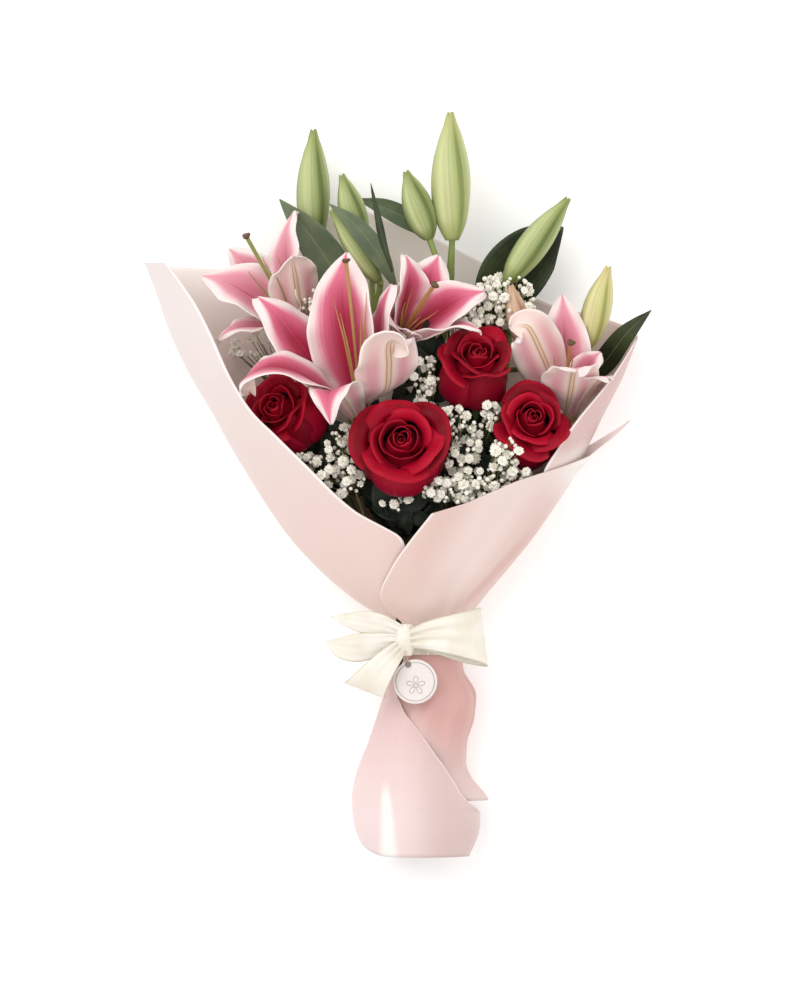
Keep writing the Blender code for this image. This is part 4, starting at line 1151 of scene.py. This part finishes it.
BUD_FINISHES = {"green": BUD_GREEN, "pale": BUD_PALE, "yellow": BUD_YELLOW, "peach": BUD_PEACH}


def tie_and_tail(stem, radius):
    """The two last knots of a stem: in the tie and at the cut end."""
    x, z = BUNDLE[stem]
    tail = (BUNDLE_X + (x - BUNDLE_X) * TAIL_SPREAD, TAIL_Y,
            BUNDLE_Z + (z - BUNDLE_Z) * TAIL_SPREAD)
    return knots_with(radius, ((x, NECK_Y, z), tail))


def build_bud(name, bottom, tip, radius, kind, number):
    """A closed bud of three folded petals, ribbed, with a slightly parted tip."""
    bottom = Vector(bottom)
    way = Vector(tip) - bottom
    ahead = way.normalized()
    face, across = frames([bottom, Vector(tip)], (0.1, 0.1, 1))[0]

    def skin(s, turn):
        lobes = 0.5 + 0.5 * sin(3 * turn)
        seam = exp(-(lobes / 0.07) ** 2)
        rib = exp(-((1 - lobes) / 0.05) ** 2)
        form = 1 + 0.05 * (lobes - 0.5) - 0.13 * seam * ease(0.02, 0.25, s) + 0.045 * rib
        split = ease(0.88, 1.0, s) * 1.6 * (lobes - 0.35)
        reach = max(curve(BUD_PROFILE, s) * radius * form + split, 0.2)
        rise = way.length * s + 2.0 * (lobes - 0.5) * ease(0.9, 1.0, s)
        return (bottom + ahead * rise + face * sin(pi * s)
                + around(face, across, turn - 0.35 * s) * reach)

    shape = Shape()
    shape.grid(rings(40, 48, skin), closed=True, tone=0.3 + 0.1 * number, ends=True)
    shape.piece(name, [BUD_FINISHES[kind]], "lily_stem_and_buds")


def build_lily_stems():
    """The branching stem of each lily, with its closed buds."""
    for lily, stem in LILY_STEMS.items():
        along = Vector(LILIES[lily]["axis"]).normalized()
        base = Vector(LILIES[lily]["base"])
        shape = Shape()
        top, *rest = stem["main"]
        tube(shape, [(*top, 2.0)] + knots_with(3.4, rest) + tie_and_tail(lily, 3.4), 90, 14)
        start = Vector(stem["flower_from"])
        bend = base - along * 15
        tube(shape, ((*start, 1.8), (*start.lerp(bend, 0.55), 2.0), (*bend, 2.2),
                     (*(base - along * 9), 2.6), (*(base - along * 4.2), 4.6)), 30, 14)
        for count, (bud, fork) in enumerate(zip(stem["buds"], stem["forks"])):
            build_bud(f"{lily}_bud_{count + 1}", *bud, count)
            bottom = Vector(bud[0])
            fork = Vector(fork)
            lead = (bottom - Vector(bud[1])).normalized() * min(22, (bottom - fork).length * 0.45)
            tube(shape, ((*fork, 1.9), (*(bottom + lead), 1.9),
                         (*(bottom - lead * 0.05), 2.4), (*(bottom - lead * 0.15), 3.0)), 24, 12)
        shape.piece(f"{lily}_stalk", [LILY_STEM], "lily_stem_and_buds", [f"{lily}_stem"])


def build_lilies():
    """Every petal, centre, stem and bud of the four lilies."""
    number = 0
    for lily, flower in LILIES.items():
        for index in range(len(flower["tepals"])):
            build_tepal(lily, flower, index, number)
            number += 1
        build_lily_centre(lily, flower)
    build_lily_stems()


# ---------------------------------------------------------------- roses

# Each rose: the foot of its head, its axis, and the head's radius and height.
ROSES = {
    "rose_1": ((-63, 38, 44), (-0.5, 0.38, 0.775), 26, 47),
    "rose_2": ((6, 14, 64), (-0.05, 0.38, 0.93), 33, 51),
    "rose_3": ((53.5, 63, 50), (0.08, 0.68, 0.73), 26.5, 46),
    "rose_4": ((89, 29, 48), (0.14, 0.42, 0.9), 27, 46),
}
PETALS = 20
PETAL_ROWS = 26
PETAL_COLUMNS = 27
PETAL_TURN = 137.5
PETAL_HEIGHTS = ((0, 0.9), (0.2, 0.97), (0.45, 1.0), (0.7, 0.95), (1.0, 0.84))


def petal_line(length, roll, close, steps):
    """Reach and height along one line of a petal: out from the hip, up, then rolled back."""
    reach = 0.0
    high = 0.0
    line = [(reach, high)]
    for step in range(1, steps):
        v = (step - 0.5) / (steps - 1)
        lean = 84 * (1 - ease(0.0, 0.42, v)) - close * ease(0.4, 0.72, v)
        lean += roll * ease(0.82, 0.98, v)
        reach += sin(radians(lean)) * length / (steps - 1)
        high += cos(radians(lean)) * length / (steps - 1)
        line.append((reach, high))
    return line


def build_rose(name, base, axis, radius, height, seed):
    """Petals set in a spiral from the heart out, the outer rims rolled back."""
    along, up, right = whorl(axis)
    shape = Shape()
    chance = random.Random(seed)
    for count in range(PETALS):
        t = count / (PETALS - 1)
        turn = radians(PETAL_TURN * count + seed * 50 + chance.uniform(-9, 9))
        rim = radius * (0.075 + 0.8 * t ** 0.9)
        tall = height * curve(PETAL_HEIGHTS, t) * (1 + 0.015 * chance.uniform(-1, 1))
        wrap = radians(125 - 58 * t ** 0.8) + chance.uniform(-0.07, 0.07)
        roll = 118 * ease(0.35, 0.95, t) * chance.uniform(0.7, 1.1)
        close = 24 - 12 * t
        peak = chance.uniform(-0.2, 0.2)
        plain = petal_line(tall, roll, close, PETAL_ROWS)
        most_high = max(high for _, high in plain)
        most_wide = plain[int(0.62 * PETAL_ROWS)][0]
        lines = []
        for c in spread(PETAL_COLUMNS):
            crest = 1 - 0.16 * abs(c) ** 2.6
            crest += 0.05 * ease(0.3, 0.8, t) * max(1 - abs(c - peak) * 2.4, 0)
            rolled = roll * (0.72 + 0.42 * abs(c - peak)) if t > 0.3 else roll
            lift = noise.noise(Vector((c * 2.3 + 7, count * 2.7, seed)))
            line = []
            for step, (reach, high) in enumerate(petal_line(tall * crest, rolled, close,
                                                            PETAL_ROWS)):
                v = step / (PETAL_ROWS - 1)
                reach = reach / most_wide * rim * (1 + 0.055 * c)
                wave = noise.noise(Vector((c * 1.7, v * 1.6, count * 3.1 + seed)))
                reach += wave * (0.5 + 1.1 * t) * ease(0.1, 0.5, v)
                high = high / most_high * tall + lift * 1.6 * ease(0.6, 1.0, v)
                arc = wrap * (0.6 + 0.4 * ease(0.0, 0.5, v)) * (1 - 0.14 * ease(0.75, 1.0, v))
                out = around(up, right, turn + arc * c)
                line.append(Vector(base) + along * high + out * max(reach, 0.3))
            lines.append(line)
        # Random from petal to petal, and lower on the inner petals: painted shade in the heart of
        # the rose.
        tone = chance.uniform(0.0, 0.9) * (0.3 + 0.7 * ease(0.1, 0.8, t))
        shape.grid([list(row) for row in zip(*lines)], tone=tone)
    shape.piece(f"{name}_petals", [ROSE], "rose_petal", [f"{name}_bloom"], 0.55)


SEPAL_COUNT = 5
SEPAL_SIDE = (-1, -0.6, -0.2, 0.2, 0.6, 1)


def build_rose_stem(name, base, axis):
    """The stem, with the hip and five sepals under the head."""
    along, up, right = whorl(axis)
    base = Vector(base)
    ends = tie_and_tail(name, 2.9)
    bend = base - along * 20
    knots = [(*(base - along * 0.3), 5.2), (*(base - along * 4), 5.8), (*(base - along * 9), 3.2),
             (*bend, 2.9), (*bend.lerp(Vector(ends[0][:3]), 0.5), 2.9)] + ends
    shape = Shape()
    tube(shape, knots, 80, 14)
    section = [(c, 0.3) for c in SEPAL_SIDE] + [(c, -0.3) for c in reversed(SEPAL_SIDE)]
    for count in range(SEPAL_COUNT):
        out = around(up, right, radians(360 / SEPAL_COUNT * count + 15))
        foot = base - along * 2.6
        path = smooth_path([foot + out * 3, foot + out * 10 - along * 2,
                            foot + out * 14 - along * 6, foot + out * 15 - along * 11], 14)
        rows = []
        for step, (face, across) in enumerate(frames(path, along)):
            wide = 3.2 * (1 - step / 13) ** 0.8 + 0.15
            rows.append([path[step] + across * c * wide + face * (0.35 * wide * c * c + lift)
                         for c, lift in section])
        shape.grid(rows, closed=True, ends=True)
    shape.piece(f"{name}_stalk", [ROSE_STEM], "rose_stem", [f"{name}_stem"])


def build_roses():
    """The four heads and their stems."""
    for seed, (name, (base, axis, radius, height)) in enumerate(ROSES.items()):
        build_rose(name, base, axis, radius, height, seed + 2)
        build_rose_stem(name, base, axis)


# ---------------------------------------------------------------- leaves

# Each big leaf: the places along its rib, its half width and its finish.
LEAVES = {
    "leaf_broad_left": (((-24, 114, 24), (-40, 144, 38), (-60, 174, 43), (-82, 200, 40)), 13,
                      LEAF_GREY),
    "leaf_over_bud": (((0, 136, 62), (-12, 160, 66), (-29, 181, 64), (-47, 196, 60)), 7,
                      LEAF_GREY),
    "leaf_narrow": (((-3, 148, 76), (-9, 168, 76), (-13, 186, 74), (-18, 210, 66)), 2.6,
                      LEAF_DARK),
    "leaf_behind": (((25, 172, 24), (8, 186, 26), (-9, 195, 26), (-28, 201, 24)), 7,
                      LEAF_GREY),
    "leaf_broad_right": (((60, 106, 20), (76, 140, 25), (97, 165, 29), (117, 181, 28)), 22,
                      LEAF_DARK),
    "leaf_far_right": (((128, 70, 18), (145, 85, 28), (160, 105, 51), (177.5, 122, 59)), 8,
                      LEAF_DARK),
}
LEAF_WIDTHS = ((0, 0.16), (0.12, 0.45), (0.28, 0.86), (0.45, 1.0), (0.65, 0.86), (0.82, 0.52),
               (0.94, 0.2), (1.0, 0.02))


def leaf_rows(spine, half, count, columns, facing=(0, 0, 1)):
    """A leaf folded along its rib, with a gentle wave in its edges."""
    def half_width(s):
        return max(half * curve(LEAF_WIDTHS, s), 0.1)

    def lift(s, c, wide):
        return 0.32 * wide * (sqrt(c * c + 0.02) - 0.14) + 0.6 * c * c * sin(9 * s + 2 * c)

    return strip(smooth_path(spine, count), facing, columns, half_width, lift)


def build_leaves():
    """The six big leaves."""
    for name, (places, half, finish) in LEAVES.items():
        shape = Shape()
        shape.grid(leaf_rows(places, half * 1.03, 50, 17))
        shape.piece(f"{name}_blade", [finish], "leaf", [name], 0.5)


# ---------------------------------------------------------------- filler

def is_clear(place, margin, trees):
    """Whether no piece lies nearer to a place than the margin."""
    return all(tree.find_nearest(place * MM, margin * MM)[0] is None for tree in trees)


def floret_shape(chance):
    """A small double blossom: three rings of notched, cupped petals."""
    shape = Shape()
    for ring, (count, open_angle, length) in enumerate(((6, 78, 1.0), (5, 48, 0.86), (4, 18, 0.7))):
        for petal in range(count):
            turn = 2 * pi * (petal + 0.37 * ring) / count + chance.uniform(-0.12, 0.12)
            tilt = radians(open_angle + chance.uniform(-10, 10))
            out = Vector((cos(turn), sin(turn), 0))
            side = Vector((-sin(turn), cos(turn), 0))
            rows = []
            for step, wide in enumerate((0.1, 0.34, 0.46, 0.34)):
                s = step / 3
                centre = around(Vector((0, 0, 1)), out, tilt * (0.55 + 0.45 * s)) * length * s
                notch = 0.14 if step == 3 else 0
                rows.append([centre * (1 - notch * (1 - abs(c))) + side * wide * c
                             + Vector((0, 0, 0.12 * c * c)) for c in spread(5)])
            shape.grid(rows)
    return shape


def closed_floret(place, size):
    """A blossom that hasn't opened, the shape of an egg."""
    def skin(s, turn):
        reach = size * sin(pi * min(max(s, 0.04), 0.97)) ** 0.8
        return place @ Vector((reach * cos(turn), reach * sin(turn), size * 1.4 * (s - 0.5) * 2))
    return rings(7, 9, skin)


def pick_spot(middle, reach, heights, chance):
    """Where the next blossom is tried, whether it is a closed one, and its size."""
    away = chance.random() ** 0.6
    turn = chance.uniform(0, 2 * pi)
    spot = Vector((middle[0] + away * cos(turn) * reach[0],
                   middle[1] + away * sin(turn) * reach[1], chance.uniform(*heights)))
    small = chance.random() < 0.4
    return spot, small, chance.uniform(1.1, 1.8) if small else chance.uniform(2.7, 4.5)


def add_blossom(blossoms, twigs, hub, spot, small, size, kind, chance):
    """One blossom on its own thin stalk."""
    lean = Vector((chance.uniform(-0.5, 0.5), chance.uniform(-0.3, 0.8), 1)).normalized()
    leaning = lean.to_track_quat("Z", "Y").to_matrix().to_4x4()
    spin = Matrix.Rotation(chance.uniform(0, 6), 4, "Z")
    place = Matrix.Translation(spot) @ leaning @ spin
    if small:
        blossoms.grid(closed_floret(place, size), closed=True, tone=0.7, ends=True)
    else:
        blossoms.copy_of(kind, place @ Matrix.Scale(size, 4), chance.uniform(0, 0.6))
    foot = hub.lerp(spot, 0.25) + Vector((0, 0, -4))
    tube(twigs, ((*foot, 0.5), (*foot.lerp(spot, 0.5), 0.38),
                 (*(spot - lean * size * 0.8), 0.3)), 9, 5)


# How often a blossom may be tried, and how close two may come as a share of their sizes.
TRIES = 14
PACKING = 0.86
# Where filler blossoms show: middle, spread, lowest and highest place, and how many.
CLOUDS = (
    ((-37, 16), (17, 24), (62, 88), 60), ((40, 30), (18, 24), (62, 92), 84),
    ((44, -3), (29, 9), (70, 98), 100), ((74, 6), (18, 11), (66, 94), 50),
    ((74, 128), (24, 20), (36, 66), 110), ((20, 72), (9, 22), (56, 74), 44),
    ((-104, 98), (15, 10), (18, 44), 13), ((-58, 128), (9, 9), (44, 64), 24),
    ((66, 46), (9, 10), (66, 84), 22), ((-2, -12), (12, 6), (60, 82), 14),
    ((76, 24), (10, 10), (84, 106), 24), ((-66, 14), (14, 8), (56, 78), 20),
    ((46, 114), (14, 10), (52, 68), 30),
)


def build_filler():
    """Blossoms on thin stalks, kept clear of the roses, lilies and paper."""
    graph = bpy.context.evaluated_depsgraph_get()
    bpy.context.view_layer.update()
    trees = [BVHTree.FromObject(item, graph) for item in bpy.context.scene.objects
             if item.type == "MESH" and not item.hide_render
             and not any(word in item.name for word in ("leaf", "greenery", "gypsophila"))]
    chance = random.Random(11)
    kinds = [floret_shape(random.Random(20 + count)) for count in range(4)]
    sprays = [(Shape(), Shape()) for _ in UPPER_STALKS]
    taken = []
    for number, (middle, reach, heights, count) in enumerate(CLOUDS):
        blossoms, twigs = sprays[number % len(sprays)]
        hub = Vector((middle[0] * 0.75 + 5, middle[1] * 0.8 - 22, max(heights[0] - 26, 8)))
        made = 0
        for _ in range(count * TRIES):
            spot, small, size = pick_spot(middle, reach, heights, chance)
            if any((spot - other).length < (size + wide) * PACKING for other, wide in taken):
                continue
            if not is_clear(spot, size * 0.9, trees):
                continue
            taken.append((spot, size))
            add_blossom(blossoms, twigs, hub, spot, small, size, kinds[made % 4], chance)
            made += 1
            if made == count:
                break
    for (name, places), (blossoms, twigs) in zip(UPPER_STALKS.items(), sprays):
        blossoms.piece(f"{name}_blossoms", [FLORET], "gypsophila", [name], 0.12)
        tube(twigs, knots_with(1.1, places) + tie_and_tail(name, 1.1), 50, 8)
        twigs.piece(f"{name}_stalks", [STRAW], "gypsophila")


UPPER_STALKS = {
    "gypsophila_1": ((-34, 10, 62), (-12, -50, 54)),
    "gypsophila_2": ((38, 0, 62), (33, -50, 55)),
    "gypsophila_3": ((34, 42, 62), (28, -30, 50)),
    "gypsophila_4": ((66, 118, 44), (62, 92, 24), (56, 40, 16), (44, -50, 15)),
}
GREENERY = {
    "greenery_1": ((-30, 96, 10), (-24, 60, 11), (-10, 15, 14), (2, -40, 17)),
    "greenery_2": ((48, 92, 10), (44, 50, 10), (38, 5, 12), (32, -50, 16)),
}
# Dark leaves that fill the bunch, put in the gaps between the flowers as painted shade: middle,
# spread, heights and how many.
SHADE = (
    ((-40, 10), (34, 30), (26, 60), 40), ((36, 12), (38, 34), (26, 72), 90),
    ((20, 70), (26, 30), (26, 56), 24), ((84, 8), (22, 22), (26, 58), 18),
    ((4, -20), (16, 14), (30, 66), 40), ((70, 110), (18, 24), (22, 34), 12),
    ((6, -26), (9, 9), (30, 72), 60),
)


def build_greenery():
    """Dark sprigs low in the bunch, so that the gaps between the flowers are deep green; their
    nearly black leaves are painted shade.
    """
    chance = random.Random(5)
    shapes = [Shape() for _ in GREENERY]
    for shape, (name, upper) in zip(shapes, GREENERY.items()):
        tube(shape, knots_with(1.5, upper) + tie_and_tail(name, 1.5), 60, 8)
    for number, ((x, y), (wide, tall), heights, count) in enumerate(SHADE):
        for _ in range(count):
            foot = Vector((x + chance.gauss(0, 0.5) * wide, y + chance.gauss(0, 0.5) * tall,
                           chance.uniform(*heights)))
            swing = radians(chance.uniform(20, 160))
            length = chance.uniform(18, 34)
            out = Vector((cos(swing), sin(swing), chance.uniform(-0.1, 0.35)))
            side = Vector((chance.uniform(-0.4, 0.4), chance.uniform(-0.4, 0.4), 1))
            spine = (foot, foot + out * length * 0.5 + Vector((0, 0, 2.5)), foot + out * length)
            rows = leaf_rows(spine, length * chance.uniform(0.2, 0.28), 12, 7, side)
            shapes[number % 2].grid(rows, tone=chance.random())
    for shape, name in zip(shapes, GREENERY):
        shape.piece(f"{name}_sprigs", [LEAF_DEEP], "greenery", [name], 0.4)


TAPE_RADIUS = 20.8
TAPE_WIDTH = 12


def tape_point(s, turn):
    """The tape goes round the stems in slightly uneven laps."""
    reach = TAPE_RADIUS + 0.25 * sin(12.8 * s + turn)
    return Vector((BUNDLE_X + reach * cos(turn), NECK_Y + TAPE_WIDTH * (0.5 - s),
                   BUNDLE_Z + reach * sin(turn)))


def build_binding():
    """The tape round the stems, under the paper."""
    shape = Shape()
    shape.grid(rings(9, 64, tape_point), closed=True)
    shape.piece("stem_tape", [BINDING], "binding_tape", ["stem_binding"], 1.2)


# ---------------------------------------------------------------- room, light and camera

TABLE_SIZE = 6.0
TABLE_STEPS = 24
# Name, place, energy, size and colour.
LIGHTS = (
    ("window_light", (-1.1, 1.1, 2.2), 28.0, 2.0, (1.0, 0.99, 0.97)),
    ("fill_light", (1.6, -0.6, 2.0), 8.0, 2.0, (1.0, 0.98, 0.97)),
    ("top_light", (0.1, 0.1, 2.6), 6.0, 2.4, (1.0, 1.0, 1.0)),
)
# The camera's height over the flowers, and how much of the scene its view takes in.
CAMERA_HEIGHT = 5.0
VIEW_HEIGHT = 0.70
SENSOR_WIDTH = 36.0
CAMERA_PLACE = (0.0024, -0.0105, 5.04)


def build_tabletop():
    """A plain white table under the bouquet, glowing faintly: painted light that lifts the shadows
    on and round it.
    """
    corners = TABLE_STEPS + 1
    edges = [TABLE_SIZE * (step / TABLE_STEPS - 0.5) for step in range(corners)]
    points = [(x, y, -0.0004) for y in edges for x in edges]
    faces = [(low, low + 1, low + corners + 1, low + corners)
             for row in range(TABLE_STEPS)
             for low in range(row * corners, row * corners + TABLE_STEPS)]
    mesh = bpy.data.meshes.new("tabletop")
    mesh.from_pydata(points, [], faces)
    # The table glows faintly, though it is no lamp: painted light that pales the shadows on it and
    # lights the bouquet a little from below.
    paint = Finish("tabletop_white", 0.9, Emission_Color=(1.0, 1.0, 1.0, 1.0),
                   Emission_Strength=0.2)
    cloud = paint.speckle(2.0, 1.0)
    mesh.materials.append(paint.paint(paint.mix(cloud, (0.93, 0.93, 0.925), (0.95, 0.95, 0.945))))
    floor = bpy.data.objects.new("tabletop", mesh)
    bpy.context.scene.collection.objects.link(floor)


def build_light():
    """A soft bright room with three big lamps."""
    world = bpy.data.worlds.new("soft_room")
    world.use_nodes = True
    sky = world.node_tree.nodes["Background"]
    sky.inputs["Color"].default_value = (1.0, 0.99, 0.98, 1.0)
    sky.inputs["Strength"].default_value = 0.82
    bpy.context.scene.world = world
    for name, place, energy, size, colour in LIGHTS:
        lamp = bpy.data.lights.new(name, "AREA")
        lamp.energy = energy
        lamp.size = size
        lamp.color = colour
        holder = bpy.data.objects.new(name, lamp)
        holder.location = place
        holder.rotation_mode = "QUATERNION"
        holder.rotation_quaternion = Vector(place).to_track_quat("Z", "Y")
        bpy.context.scene.collection.objects.link(holder)


def build_camera():
    """The camera looks straight down on the bouquet."""
    lens = bpy.data.cameras.new("overhead_camera")
    lens.sensor_width = SENSOR_WIDTH
    lens.lens = SENSOR_WIDTH * CAMERA_HEIGHT / VIEW_HEIGHT
    lens.clip_start = 0.1
    lens.clip_end = 20.0
    eye = bpy.data.objects.new("overhead_camera", lens)
    eye.location = CAMERA_PLACE
    bpy.context.scene.collection.objects.link(eye)
    bpy.context.scene.camera = eye
    bpy.context.scene.view_settings.view_transform = "Standard"


build_tabletop()
build_light()
build_camera()
build_wrap()
build_ribbon()
build_tag()
build_binding()
build_lilies()
build_roses()
build_leaves()
build_filler()
build_greenery()
